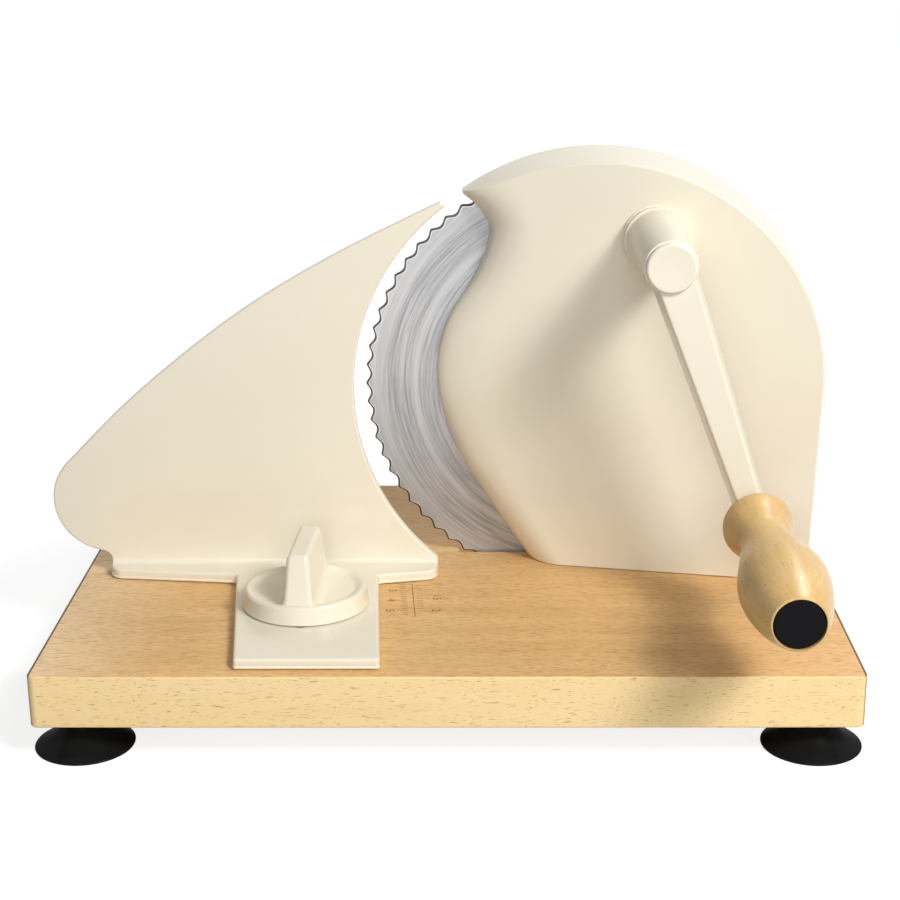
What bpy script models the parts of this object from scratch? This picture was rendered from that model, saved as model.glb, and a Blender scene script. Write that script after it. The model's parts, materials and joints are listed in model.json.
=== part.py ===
"""Hand-cranked bread slicer on a beech board, built piece by piece.

Metres. X runs to the right, Y away from the crank side and Z up. The origin is the centre of the
board's underside. Setbacks are measured from the board's front edge and lifts from its top face.
"""
import math

import bmesh
import bpy
from mathutils import Matrix

# Board and feet
BOARD_WIDTH = 0.290
BOARD_DEPTH = 0.205
BOARD_THICK = 0.0195
BOARD_CORNER = 0.003
BOARD_ARRIS = 0.0008
FOOT_RADIUS = 0.0178
FOOT_HEIGHT = 0.0136
FOOT_INSET = 0.0155
FOOT_STEM_RADIUS = 0.0068
FOOT_CUP_DEPTH = 0.0045
FOOT_CUP_FLOOR = 0.0020
FOOT_RIM_HEIGHT = 0.0010
FOOT_RIM_LAND = 0.0034
FOOT_LAND_MARGIN = 0.0050
FOOT_STUD_RADIUS = 0.0020
FOOT_STUD_REACH = 0.0110

# Clearances
SEAT = 0.0003
RUNNING = 0.0001
SLOT_ROOM = 0.0004
BLADE_ROOM = 0.0012
OVERSHOOT = 0.001
THROUGH = 1.0

# Blade and its gear
BLADE_RADIUS = 0.085
BLADE_THICK = 0.0016
HOUSING_RIM_SETBACK = 0.1246
RIM_PAST_BLADE = 0.0026
BLADE_SETBACK = HOUSING_RIM_SETBACK - RIM_PAST_BLADE
BLADE_X = 0.0519
BLADE_SUNK = 0.01395
BLADE_LIFT = BLADE_RADIUS - BLADE_SUNK
BLADE_TEETH = 70
SCALLOP_DEPTH = 0.0017
STEP_INNER_RADIUS = 0.0655
STEP_OUTER_RADIUS = 0.0775
STEP_DEPTH = 0.00022
STEP_RUN = 0.0004
EDGE_BEVEL = 0.0012
EDGE_THICK = 0.0004
TOOTH_POINTS = 4
GEAR_MODULE = 0.002
GEAR_PAST_BLADE = 0.0050
PINION_TEETH = 21
BLADE_GEAR_TEETH = int(round(2 * ((BLADE_RADIUS + GEAR_PAST_BLADE) / GEAR_MODULE
                                  - PINION_TEETH - 1), 3))
PRESSURE_ANGLE = math.radians(20)
BACKLASH = 0.0002
GEAR_FACE = 0.0042
GEAR_WEB = 0.0026
GEAR_RIM = 0.0050
GEAR_HUB_RADIUS = 0.0120
GEAR_HUB_LENGTH = 0.0078
AXLE_RADIUS = 0.0050
BUSH_WALL = 0.0013
RIVET_CIRCLE = 0.0260
RIVET_RADIUS = 0.0020
RIVET_HEAD_RADIUS = 0.0038
RIVET_HEAD_HEIGHT = 0.0008
RIVETS = 3
BLADE_SCREW_RADIUS = 0.0025
BLADE_SCREW_REACH = 0.0098
BLADE_SCREW_SLOT_WIDTH = 0.0016
BLADE_SCREW_SLOT_DEPTH = 0.0011
BLADE_SCREW_HEAD_RADIUS = 0.0120
BLADE_SCREW_HEAD_HEIGHT = 0.0022
BLADE_WASHER_RADIUS = 0.0160
BLADE_WASHER_THICK = 0.0008

# Housing casting: a round-topped shell whose left side follows the blade in an S
HOUSING_WALL = 0.0026
HOUSING_BASE = 0.0032
FACE_WALL_SHARE = 0.6
RIM_OFFSET = (0.0054, 0.00275)
RIM_MARGIN = 0.0055
RIM_DRAW_IN = 0.0020
FACE_OFFSET = (0.0024, 0.0055)
FACE_DRAFT = 0.0089
FACE_DRAW_IN = 0.0029
HOUSING_DEPTH = 0.0117
RIM_CENTRE = (BLADE_X + RIM_OFFSET[0], BLADE_LIFT + RIM_OFFSET[1])
RIM_RADIUS = BLADE_RADIUS + RIM_MARGIN
RIM_FOOT_X = RIM_CENTRE[0] + RIM_RADIUS - RIM_DRAW_IN
FACE_CENTRE = (RIM_CENTRE[0] + FACE_OFFSET[0], RIM_CENTRE[1] + FACE_OFFSET[1])
FACE_RADIUS = RIM_RADIUS - FACE_DRAFT
FACE_FOOT_X = FACE_CENTRE[0] + FACE_RADIUS - FACE_DRAW_IN
FACE_SETBACK_AT_ORIGIN = HOUSING_RIM_SETBACK - HOUSING_DEPTH
FACE_SLOPE = 0.196
FACE_FILLET = 0.0018
FOOT_FILLET = 0.0002
BEAK_ANGLE = math.radians(125.0)
RIDGE_ANGLE = math.radians(116.5)
LIP_THICK = 0.0017
S_POINTS = 30
CROWN_POINTS = 32
SIDE_POINTS = 3
BASE_POINTS = 6
BEAK_BLEND = 5
WALL_LAND = 0.001
AXLE_BOSS_RADIUS = 0.0095
AXLE_SEAT_DEPTH = 0.0068
CRANK_PAD_RADIUS = 0.0132
CRANK_PAD_SOFT = 0.0004
CRANK_PAD_FLARE = 0.0006
CRANK_PAD_DEPTH = 0.0090
CRANK_BOSS_RADIUS = 0.0100
CRANK_PAD_OUT = 0.0186
CRANK_PAD_SETBACK = FACE_SETBACK_AT_ORIGIN - CRANK_PAD_OUT
POST_RADIUS = 0.0042
POST_HEIGHT = 0.0140
POST_FROM_RIM = 0.0121
POST_SETBACK = HOUSING_RIM_SETBACK - POST_FROM_RIM
POST_CROWN = 0.0030
HOUSING_SCREW_RADIUS = 0.0020
HOUSING_SCREW_XS = (BLADE_X - 0.0079, BLADE_X + 0.0381, RIM_FOOT_X - 0.0178)
SCREW_HEAD_RADIUS = 0.0042
SCREW_HEAD_HEIGHT = 0.0024

# Crank
CRANK_DIRECTION = math.radians(66.5)
CRANK_RADIUS = 0.099
CRANK_REST = math.radians(19.5)
SHAFT_RADIUS = 0.0040
CRANK_BUSH_WALL = 0.0018
CRANK_BUSH_FLANGE = 0.0090
CRANK_BUSH_FLANGE_THICK = 0.0012
HUB_LENGTH = 0.0501
HUB_FRONT_SETBACK = CRANK_PAD_SETBACK - HUB_LENGTH
HUB_BACK_RADIUS = 0.0121
HUB_FRONT_RADIUS = 0.0098
HUB_CAP_RADIUS = 0.0086
HUB_CAP_RISE = 0.0018
HUB_SOLID = 0.0100
HUB_EDGE = 0.0006
ARM_THICK = 0.0100
ARM_HUB_HALF_WIDTH = 0.0085
ARM_END_HALF_WIDTH = 0.0056
ARM_DRAFT = 0.0014
ARM_EDGE = 0.0011
ARM_END_RADIUS = 0.0085
PINION_HUB_RADIUS = 0.0090
PINION_HUB_LENGTH = 0.0060

# Grip
SPINDLE_RADIUS = 0.0035
GRIP_LENGTH = 0.0915
GRIP_BACK_RADIUS = 0.0088
GRIP_BEAD_RADIUS = 0.0126
GRIP_BEAD_AT = 0.0045
GRIP_NECK_RADIUS = 0.0088
GRIP_NECK_AT = 0.0225
GRIP_BELLY_RADIUS = 0.0151
GRIP_BELLY_AT = 0.0600
GRIP_END_RADIUS = 0.0093
GRIP_END_ROUND = 0.0004
GRIP_SWELL = 0.0010
GRIP_CAP_RADIUS = 0.0082
GRIP_CAP_THICK = 0.0030
GRIP_NUT_RADIUS = 0.0058
GRIP_NUT_THICK = 0.0040
GRIP_NUT_ROOM = 0.0020
GRIP_WASHER_RADIUS = 0.0070
GRIP_WASHER_THICK = 0.0008

# Stop plate: upright fin, foot flange and clamping tongue in one casting
FIN_SETBACK = 0.0976
FIN_THICK = 0.0040
FIN_EDGE = 0.0011
FIN_ARC_OFFSET = (0.0011, 0.00295)
FIN_CLEARANCE = 0.0043
FIN_ARC_CENTRE = (BLADE_X + FIN_ARC_OFFSET[0], BLADE_LIFT + FIN_ARC_OFFSET[1])
FIN_ARC_RADIUS = BLADE_RADIUS + FIN_CLEARANCE
FIN_TIP_ANGLE = math.radians(127.0)
FIN_TIP_OUT = 0.0025
FIN_TIP_FLAT = (0.0016, 0.0012)
FIN_NOSE_CENTRE = (-0.1340, 0.0307)
FIN_NOSE_RADIUS = 0.0215
FIN_BOWS = ((0.736, 0.0069), (0.494, 0.0095), (0.222, 0.0065))
FIN_FOOT_LIFT = 0.00585
FIN_NOTCH_RADIUS = 0.0040
PLATE_THICK = 0.0040
PLATE_EDGE = 0.0013
PLATE_LEFT_X = -0.1338
PLATE_RIGHT_X = FIN_ARC_CENTRE[0] - math.sqrt(FIN_ARC_RADIUS ** 2
                                              - (FIN_ARC_CENTRE[1] - FIN_FOOT_LIFT) ** 2)
PLATE_CORNER = 0.0056
FLANGE_LEFT_SETBACK = 0.0900
FLANGE_MIDDLE_SETBACK = 0.0843
FLANGE_RIGHT_SETBACK = 0.0876
TONGUE_FRONT_SETBACK = 0.0050
TONGUE_FRONT_XS = (-0.0740, -0.0226)
TONGUE_BACK_XS = (-0.0828, -0.0274)
TONGUE_CORNER = 0.0015
FIN_FILLET = 0.0040
FILLET_FADE = 0.0160
TRAVEL_BACK = 0.0200
TRAVEL_FRONT = 0.0160

# Clamp knob
KNOB_X = -0.0529
KNOB_SETBACK = 0.0560
KNOB_RADIUS = 0.0235
KNOB_TOP_RADIUS = 0.0212
KNOB_DISC_HEIGHT = 0.0070
KNOB_DISH = 0.0012
KNOB_HEIGHT = 0.0246
KNOB_SOFT = 0.0012
KNOB_DISH_RUN = 0.0030
KNOB_TURN = math.radians(-2.6)
WING_TOP_LENGTH = 0.0335
WING_BASE_LENGTH = 0.0450
WING_TOP_WIDTH = 0.0082
WING_BASE_WIDTH = 0.0118
WING_EDGE = 0.0016
WING_FLARE = 0.0032
CLAMP_STUD_RADIUS = 0.0030
CLAMP_STUD_IN_KNOB = 0.0120
CLAMP_WASHER_RADIUS = 0.0100
CLAMP_WASHER_THICK = 0.0010
INSERT_WALL = 0.0016
INSERT_FLANGE_RADIUS = 0.0085
INSERT_FLANGE_THICK = 0.0012

PIN_CHAMFER = 0.0004

# Round pieces: sides of a full turn
ROUND_LARGE = 80
ROUND_MEDIUM = 28
ROUND_SMALL = 16

CREAM = ((0.87, 0.80, 0.63), 0.22, 0.0)
BEECH = ((0.80, 0.56, 0.30), 0.50, 0.0)
PALE_WOOD = ((0.76, 0.56, 0.31), 0.42, 0.0)
RUBBER = ((0.02, 0.02, 0.02), 0.30, 0.0)
BLACK_PLASTIC = ((0.015, 0.015, 0.018), 0.55, 0.0)
STEEL = ((0.60, 0.60, 0.61), 0.28, 1.0)
BRASS = ((0.72, 0.55, 0.25), 0.35, 1.0)
NYLON = ((0.85, 0.84, 0.80), 0.50, 0.0)

FRONT = -BOARD_DEPTH / 2


def setback(distance):
    """World Y of a plane at this distance behind the board's front edge."""
    return FRONT + distance


def lift(height):
    """World Z of a level at this height above the board's top face."""
    return BOARD_THICK + height


def polar(radius, angle):
    """Point at this radius and angle."""
    return (radius * math.cos(angle), radius * math.sin(angle))


def bore(radius, clearance, sides):
    """Radius of a faceted hole whose flats clear a round pin of this radius."""
    return (radius + clearance) / math.cos(math.pi / sides)


def arc(centre, radius, start, end, steps):
    """Points along a circular arc, both ends included."""
    angles = [start + (end - start) * step / steps for step in range(steps + 1)]
    return [(centre[0] + radius * math.cos(a), centre[1] + radius * math.sin(a)) for a in angles]


def smooth_curve(points, steps):
    """Catmull-Rom curve through the points, with this many steps to a span."""
    padded = [points[0], *points, points[-1]]
    curve = []
    for before, start, end, after in zip(padded, padded[1:], padded[2:], padded[3:]):
        for step in range(steps):
            t = step / steps
            curve.append(tuple(
                0.5 * (2 * b + (c - a) * t + (2 * a - 5 * b + 4 * c - d) * t * t
                       + (3 * b - a - 3 * c + d) * t ** 3)
                for a, b, c, d in zip(before, start, end, after)))
    curve.append(tuple(points[-1]))
    return curve


def evenly(points, count):
    """The same path as this many points at even spacing, without its last point."""
    lengths = [0.0]
    for start, end in zip(points, points[1:]):
        lengths.append(lengths[-1] + math.dist(start, end))
    spaced = []
    span = 0
    for index in range(count):
        target = lengths[-1] * index / count
        while lengths[span + 1] < target:
            span += 1
        share = (target - lengths[span]) / (lengths[span + 1] - lengths[span])
        spaced.append(tuple(a + (b - a) * share for a, b in zip(points[span], points[span + 1])))
    return spaced


def inset(outline, distance):
    """Clockwise closed outline moved inwards along its own normals."""
    moved = []
    count = len(outline)
    for index, point in enumerate(outline):
        ahead = outline[(index + 1) % count]
        behind = outline[index - 1]
        run = (ahead[0] - behind[0], ahead[1] - behind[1])
        size = math.hypot(*run)
        moved.append((point[0] + distance * run[1] / size, point[1] - distance * run[0] / size))
    return moved


def turned(profile, sides, closed=False):
    """Revolve (radius, y) points about the Y axis; a closed profile makes a ring."""
    bm = bmesh.new()
    verts = [bm.verts.new((radius, y, 0)) for radius, y in profile]
    edges = [bm.edges.new(pair) for pair in zip(verts, verts[1:])]
    if closed:
        edges.append(bm.edges.new((verts[-1], verts[0])))
    bmesh.ops.spin(bm, geom=verts + edges, cent=(0, 0, 0), axis=(0, 1, 0), dvec=(0, 0, 0),
                   angle=math.tau, steps=sides, use_merge=True, use_duplicate=False)
    bmesh.ops.remove_doubles(bm, verts=bm.verts, dist=1e-6)
    bmesh.ops.recalc_face_normals(bm, faces=bm.faces)
    return bm


def rod(radius, start, end, sides, chamfer=0.0):
    """Round bar along Y."""
    if not chamfer:
        return turned([(0, start), (radius, start), (radius, end), (0, end)], sides)
    return turned([(0, start), (radius - chamfer, start), (radius, start + chamfer),
                   (radius, end - chamfer), (radius - chamfer, end), (0, end)], sides)


def tube(inner, outer, start, end, sides):
    """Round sleeve along Y; its bore keeps clear of a pin of the inner radius."""
    hole = inner / math.cos(math.pi / sides)
    return turned([(hole, start), (outer, start), (outer, end), (hole, end)], sides, closed=True)


def upright(bm):
    """Turn a piece made along Y so that it stands along Z."""
    bmesh.ops.rotate(bm, verts=bm.verts, cent=(0, 0, 0), matrix=Matrix.Rotation(math.pi / 2, 3, "X"))
    return bm


def moved(bm, x=0.0, y=0.0, z=0.0):
    """Shift a piece."""
    bmesh.ops.translate(bm, verts=bm.verts, vec=(x, y, z))
    return bm


def plate(outline, normal, low, high):
    """Extrude a flat outline along Y (points are x, z) or Z (points are x, y)."""
    bm = bmesh.new()
    if normal == "Y":
        corners = [(a, low, b) for a, b in outline]
        step = (0, high - low, 0)
    else:
        corners = [(a, b, low) for a, b in outline]
        step = (0, 0, high - low)
    base = bm.faces.new([bm.verts.new(corner) for corner in corners])
    grown = bmesh.ops.extrude_face_region(bm, geom=[base], use_keep_orig=True)
    top = [item for item in grown["geom"] if isinstance(item, bmesh.types.BMVert)]
    bmesh.ops.translate(bm, verts=top, vec=step)
    bmesh.ops.recalc_face_normals(bm, faces=bm.faces)
    return bm


def rounded(bm, width, segments=2, least_angle=50.0):
    """Round every edge that is sharper than the given angle."""
    sharp = [edge for edge in bm.edges if edge.calc_face_angle(0) > math.radians(least_angle)]
    bmesh.ops.bevel(bm, geom=sharp, offset=width, segments=segments, profile=0.5, affect="EDGES",
                    clamp_overlap=True)
    return bm


def lofted(rings):
    """Closed skin through rings of equal count, capped flat at both ends."""
    bm = bmesh.new()
    rows = [[bm.verts.new(point) for point in ring] for ring in rings]
    for low, high in zip(rows, rows[1:]):
        for index in range(len(low)):
            after = (index + 1) % len(low)
            bm.faces.new((low[index], low[after], high[after], high[index]))
    bm.faces.new(rows[0])
    bm.faces.new(rows[-1])
    bmesh.ops.recalc_face_normals(bm, faces=bm.faces)
    return bm


def working_object(bm):
    """Temporary object that a Boolean can read."""
    mesh = bpy.data.meshes.new("working")
    bm.to_mesh(mesh)
    bm.free()
    item = bpy.data.objects.new("working", mesh)
    bpy.context.collection.objects.link(item)
    return item


def boolean(base, tool, operation):
    """Result of one exact Boolean; both inputs are used up."""
    body = working_object(base)
    cutter = working_object(tool)
    modifier = body.modifiers.new("Boolean", "BOOLEAN")
    modifier.operation = operation
    modifier.solver = "EXACT"
    modifier.object = cutter
    result = bmesh.new()
    result.from_object(body, bpy.context.evaluated_depsgraph_get())
    for item in (body, cutter):
        mesh = item.data
        bpy.data.objects.remove(item, do_unlink=True)
        bpy.data.meshes.remove(mesh)
    bmesh.ops.remove_doubles(result, verts=result.verts, dist=2e-6)
    bmesh.ops.dissolve_degenerate(result, edges=result.edges, dist=2e-6)
    return result


def fused(base, *tools):
    """Join solids into one body."""
    for tool in tools:
        base = boolean(base, tool, "UNION")
    return base


def cut(base, *tools):
    """Take solids away from a body."""
    for tool in tools:
        base = boolean(base, tool, "DIFFERENCE")
    return base


def finish(name, look):
    """Plain material of a piece."""
    colour, roughness, metallic = look
    material = bpy.data.materials.new(name)
    material.use_nodes = True
    shader = material.node_tree.nodes["Principled BSDF"]
    shader.inputs["Base Color"].default_value = (*colour, 1.0)
    shader.inputs["Roughness"].default_value = roughness
    shader.inputs["Metallic"].default_value = metallic
    return material


def place(name, bm, look, parent=None, smooth=35.0):
    """Name a piece, dress it and hang it on its axis."""
    bmesh.ops.dissolve_limit(bm, angle_limit=math.radians(0.02), verts=bm.verts, edges=bm.edges)
    mesh = bpy.data.meshes.new(name)
    bm.to_mesh(mesh)
    bm.free()
    mesh.shade_smooth()
    mesh.set_sharp_from_angle(angle=math.radians(smooth))
    mesh.materials.append(finish(name, look))
    item = bpy.data.objects.new(name, mesh)
    bpy.context.collection.objects.link(item)
    item.parent = parent
    return item


def axis_empty(name, x=0.0, y=0.0, z=0.0, parent=None):
    """Empty that marks a joint axis or a slide."""
    item = bpy.data.objects.new(name, None)
    bpy.context.collection.objects.link(item)
    item.location = (x, y, z)
    item.parent = parent
    return item


BLADE_AXIS = (BLADE_X, lift(BLADE_LIFT))
CENTRE_DISTANCE = GEAR_MODULE * (BLADE_GEAR_TEETH + PINION_TEETH) / 2
CRANK_AXIS = (BLADE_AXIS[0] + CENTRE_DISTANCE * math.cos(CRANK_DIRECTION),
              BLADE_AXIS[1] + CENTRE_DISTANCE * math.sin(CRANK_DIRECTION))
GRIP_AXIS = (CRANK_AXIS[0] + CRANK_RADIUS * math.sin(CRANK_REST),
             CRANK_AXIS[1] - CRANK_RADIUS * math.cos(CRANK_REST))
BLADE_Y = setback(BLADE_SETBACK)
BLADE_FRONT = BLADE_Y - BLADE_THICK / 2
BLADE_BACK = BLADE_Y + BLADE_THICK / 2
GEAR_BACK = BLADE_FRONT - SEAT
GEAR_FRONT = GEAR_BACK - GEAR_FACE
PLATE_TOP = lift(SEAT + PLATE_THICK)


def face_y(x):
    """World Y of the housing's main face, which is turned a little in plan."""
    return setback(FACE_SETBACK_AT_ORIGIN - FACE_SLOPE * x)


def blade_disc(radius, front, back):
    """Round space about the blade's axis."""
    return moved(rod(radius, front, back, ROUND_LARGE), x=BLADE_AXIS[0], z=BLADE_AXIS[1])


def foot_centres():
    """Names and places of the four feet."""
    x = BOARD_WIDTH / 2 - FOOT_INSET
    y = BOARD_DEPTH / 2 - FOOT_INSET
    return (("front_left", -x, -y), ("front_right", x, -y), ("rear_left", -x, y), ("rear_right", x, y))


def parted_between_feet(bm):
    """Part the underside into the lands over the feet and the free middle between them."""
    middle = BOARD_WIDTH / 2 - FOOT_INSET - FOOT_RADIUS - FOOT_LAND_MARGIN
    for x in (-middle, middle):
        under = [face for face in bm.faces if face.normal.z < -0.99]
        edges = {edge for face in under for edge in face.edges}
        verts = {vert for face in under for vert in face.verts}
        bmesh.ops.bisect_plane(bm, geom=under + list(edges) + list(verts), plane_co=(x, 0, 0),
                               plane_no=(1, 0, 0))
    return bm


def board():
    """Beech board with its blade slot, screw holes and insert hole."""
    half_x = BOARD_WIDTH / 2
    half_y = BOARD_DEPTH / 2
    outline = []
    for sign_x, sign_y, start in ((1, 1, 0), (-1, 1, 90), (-1, -1, 180), (1, -1, 270)):
        centre = (sign_x * (half_x - BOARD_CORNER), sign_y * (half_y - BOARD_CORNER))
        outline += arc(centre, BOARD_CORNER, math.radians(start), math.radians(start + 90), 4)
    bm = parted_between_feet(rounded(plate(outline, "Z", 0, BOARD_THICK), BOARD_ARRIS, segments=1))
    slot = blade_disc(BLADE_RADIUS + BLADE_ROOM, BLADE_FRONT - BLADE_ROOM, BLADE_BACK + BLADE_ROOM)
    bm = cut(bm, slot)
    for x in HOUSING_SCREW_XS:
        shank = upright(rod(bore(HOUSING_SCREW_RADIUS, SEAT, ROUND_SMALL), -THROUGH, THROUGH, ROUND_SMALL))
        head = upright(rod(bore(SCREW_HEAD_RADIUS, SEAT, ROUND_SMALL), -THROUGH, THROUGH, ROUND_SMALL))
        depth = SCREW_HEAD_HEIGHT + SEAT * 2
        moved(head, x=x, y=setback(POST_SETBACK), z=depth - THROUGH)
        bm = cut(bm, moved(shank, x=x, y=setback(POST_SETBACK)), head)
    for _, x, y in foot_centres():
        pilot = upright(rod(bore(FOOT_STUD_RADIUS, SEAT, ROUND_SMALL), -THROUGH, THROUGH, ROUND_SMALL))
        bm = cut(bm, moved(pilot, x=x, y=y, z=FOOT_STUD_REACH + SEAT - THROUGH))
    barrel = CLAMP_STUD_RADIUS + RUNNING + INSERT_WALL
    well = upright(rod(bore(barrel, SEAT, ROUND_SMALL), -THROUGH, THROUGH, ROUND_SMALL))
    recess = upright(rod(bore(INSERT_FLANGE_RADIUS, SEAT, ROUND_SMALL), -THROUGH, THROUGH, ROUND_SMALL))
    moved(recess, x=KNOB_X, y=setback(KNOB_SETBACK), z=INSERT_FLANGE_THICK + SEAT * 2 - THROUGH)
    return cut(bm, moved(well, x=KNOB_X, y=setback(KNOB_SETBACK)), recess)


def suction_foot():
    """Rubber suction cup: flat rim, hollow underside and a stem that takes the stud."""
    top = -SEAT
    ground = -FOOT_HEIGHT
    outer = [(FOOT_RADIUS, ground), (FOOT_RADIUS, ground + FOOT_RIM_HEIGHT)]
    outer += smooth_curve([(FOOT_RADIUS * 0.93, ground + FOOT_RIM_HEIGHT * 1.5),
                           (FOOT_RADIUS * 0.66, ground + FOOT_HEIGHT * 0.34),
                           (FOOT_STEM_RADIUS * 1.12, ground + FOOT_HEIGHT * 0.66),
                           (FOOT_STEM_RADIUS, ground + FOOT_HEIGHT * 0.82)], 2)
    hole = bore(FOOT_STUD_RADIUS, SEAT, ROUND_SMALL)
    floor = ground + FOOT_CUP_DEPTH + FOOT_CUP_FLOOR
    inner = [(FOOT_STEM_RADIUS, top), (hole, top), (hole, floor), (0, floor)]
    cup = [(0, ground + FOOT_CUP_DEPTH), (FOOT_RADIUS * 0.45, ground + FOOT_CUP_DEPTH * 0.80),
           (FOOT_RADIUS - FOOT_RIM_LAND * 0.9, ground + FOOT_RIM_HEIGHT * 0.6),
           (FOOT_RADIUS - FOOT_RIM_LAND, ground)]
    return upright(turned(cup + outer + inner, ROUND_MEDIUM))


def foot_stud():
    """Threaded stud between foot and board."""
    low = -FOOT_HEIGHT + FOOT_CUP_DEPTH + FOOT_CUP_FLOOR + SEAT
    return upright(rod(FOOT_STUD_RADIUS, low, FOOT_STUD_REACH, ROUND_SMALL))


def by_radius(shares, centre, radius):
    """Curve drawn in radii, sideways from a round outline's centre and up from the board."""
    return [(centre[0] + radius * x, max(radius * z, SEAT)) for x, z in shares]


def rim_outline():
    """Back outline of the housing, clockwise from the front: S edge, crown, side and base."""
    beak = arc(RIM_CENTRE, RIM_RADIUS, BEAK_ANGLE, 0, 40)
    drawn = by_radius(((-0.291, 0), (-0.451, 0.243), (-0.603, 0.504), (-0.684, 0.796), (-0.646, 1.053),
                       (-0.507, 1.291), (-0.455, 1.456), (-0.480, 1.537), (-0.527, 1.589),
                       (-0.565, 1.618)), RIM_CENTRE, RIM_RADIUS)
    s_edge = smooth_curve([*drawn, beak[0]], 6)
    side = [beak[-1], (RIM_FOOT_X, SEAT)]
    base = [side[-1], s_edge[0]]
    return (evenly(s_edge, S_POINTS) + evenly(beak, CROWN_POINTS) + evenly(side, SIDE_POINTS)
            + evenly(base, BASE_POINTS))


def face_outline():
    """Edge of the main face, point for point beside the back outline."""
    crown = arc(FACE_CENTRE, FACE_RADIUS, RIDGE_ANGLE, 0, 40)
    drawn = by_radius(((-0.180, 0), (-0.352, 0.282), (-0.487, 0.551), (-0.542, 0.858), (-0.505, 1.176),
                       (-0.382, 1.422), (-0.333, 1.605), (-0.364, 1.740)), FACE_CENTRE, FACE_RADIUS)
    ridge = smooth_curve([*drawn, crown[0]], 6)
    side = [crown[-1], (FACE_FOOT_X, SEAT)]
    base = [side[-1], ridge[0]]
    return (evenly(ridge, S_POINTS) + evenly(crown, CROWN_POINTS) + evenly(side, SIDE_POINTS)
            + evenly(base, BASE_POINTS))


def shell(wall, base_wall, back):
    """Solid inside the housing's skin, moved inwards by the wall for the hollow."""
    rim = rim_outline()
    face = face_outline()
    if wall:
        rim = inset(rim, wall)
        face = inset(face, wall * FACE_WALL_SHARE)
        floor = SEAT + base_wall
        rim = [(x, max(z, floor)) for x, z in rim]
        face = [(x, max(z, floor)) for x, z in face]
    middle = (sum(x for x, _ in face) / len(face), sum(z for _, z in face) / len(face))
    lip_y = BLADE_FRONT - SEAT - LIP_THICK + wall
    wall_start = setback(HOUSING_RIM_SETBACK) - WALL_LAND
    fillets = [FACE_FILLET] * (len(face) - BASE_POINTS + 1) + [FOOT_FILLET] * (BASE_POINTS - 1)
    sweep_steps = (0.0, 0.06, 0.18, 0.36, 0.60, 1.0)
    wall_steps = (0.0, 0.25, 0.50, 0.75, 0.95, 1.0)
    rings = [[(x, back, lift(z)) for x, z in rim]]
    for sweep, straight in zip(sweep_steps, wall_steps):
        ring = []
        for index, ((rx, rz), (fx, fz)) in enumerate(zip(rim, face)):
            front = face_y(fx) + wall
            rise = math.sqrt(1 - (1 - sweep) ** 2)
            swept_y = lip_y + (front - lip_y) * rise
            wall_y = wall_start + (front + fillets[index] - wall_start) * straight
            blend = min(max((index - S_POINTS) / BEAK_BLEND, 0), 1)
            share = sweep + (straight - sweep) * blend
            y = swept_y + (wall_y - swept_y) * blend
            ring.append((rx + (fx - rx) * share, y, lift(rz + (fz - rz) * share)))
        rings.append(ring)
    for step, depth in ((0.3, 0.3), (1.0, 0.0)):
        ring = []
        for index, (fx, fz) in enumerate(face):
            away = math.hypot(middle[0] - fx, middle[1] - fz)
            share = fillets[index] * step / away
            x = fx + (middle[0] - fx) * share
            blend = min(max((index - S_POINTS) / BEAK_BLEND, 0), 1)
            y = face_y(x) + wall + fillets[index] * depth * blend
            ring.append((x, y, lift(fz + (middle[1] - fz) * share)))
        rings.append(ring)
    return lofted(rings)


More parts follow.
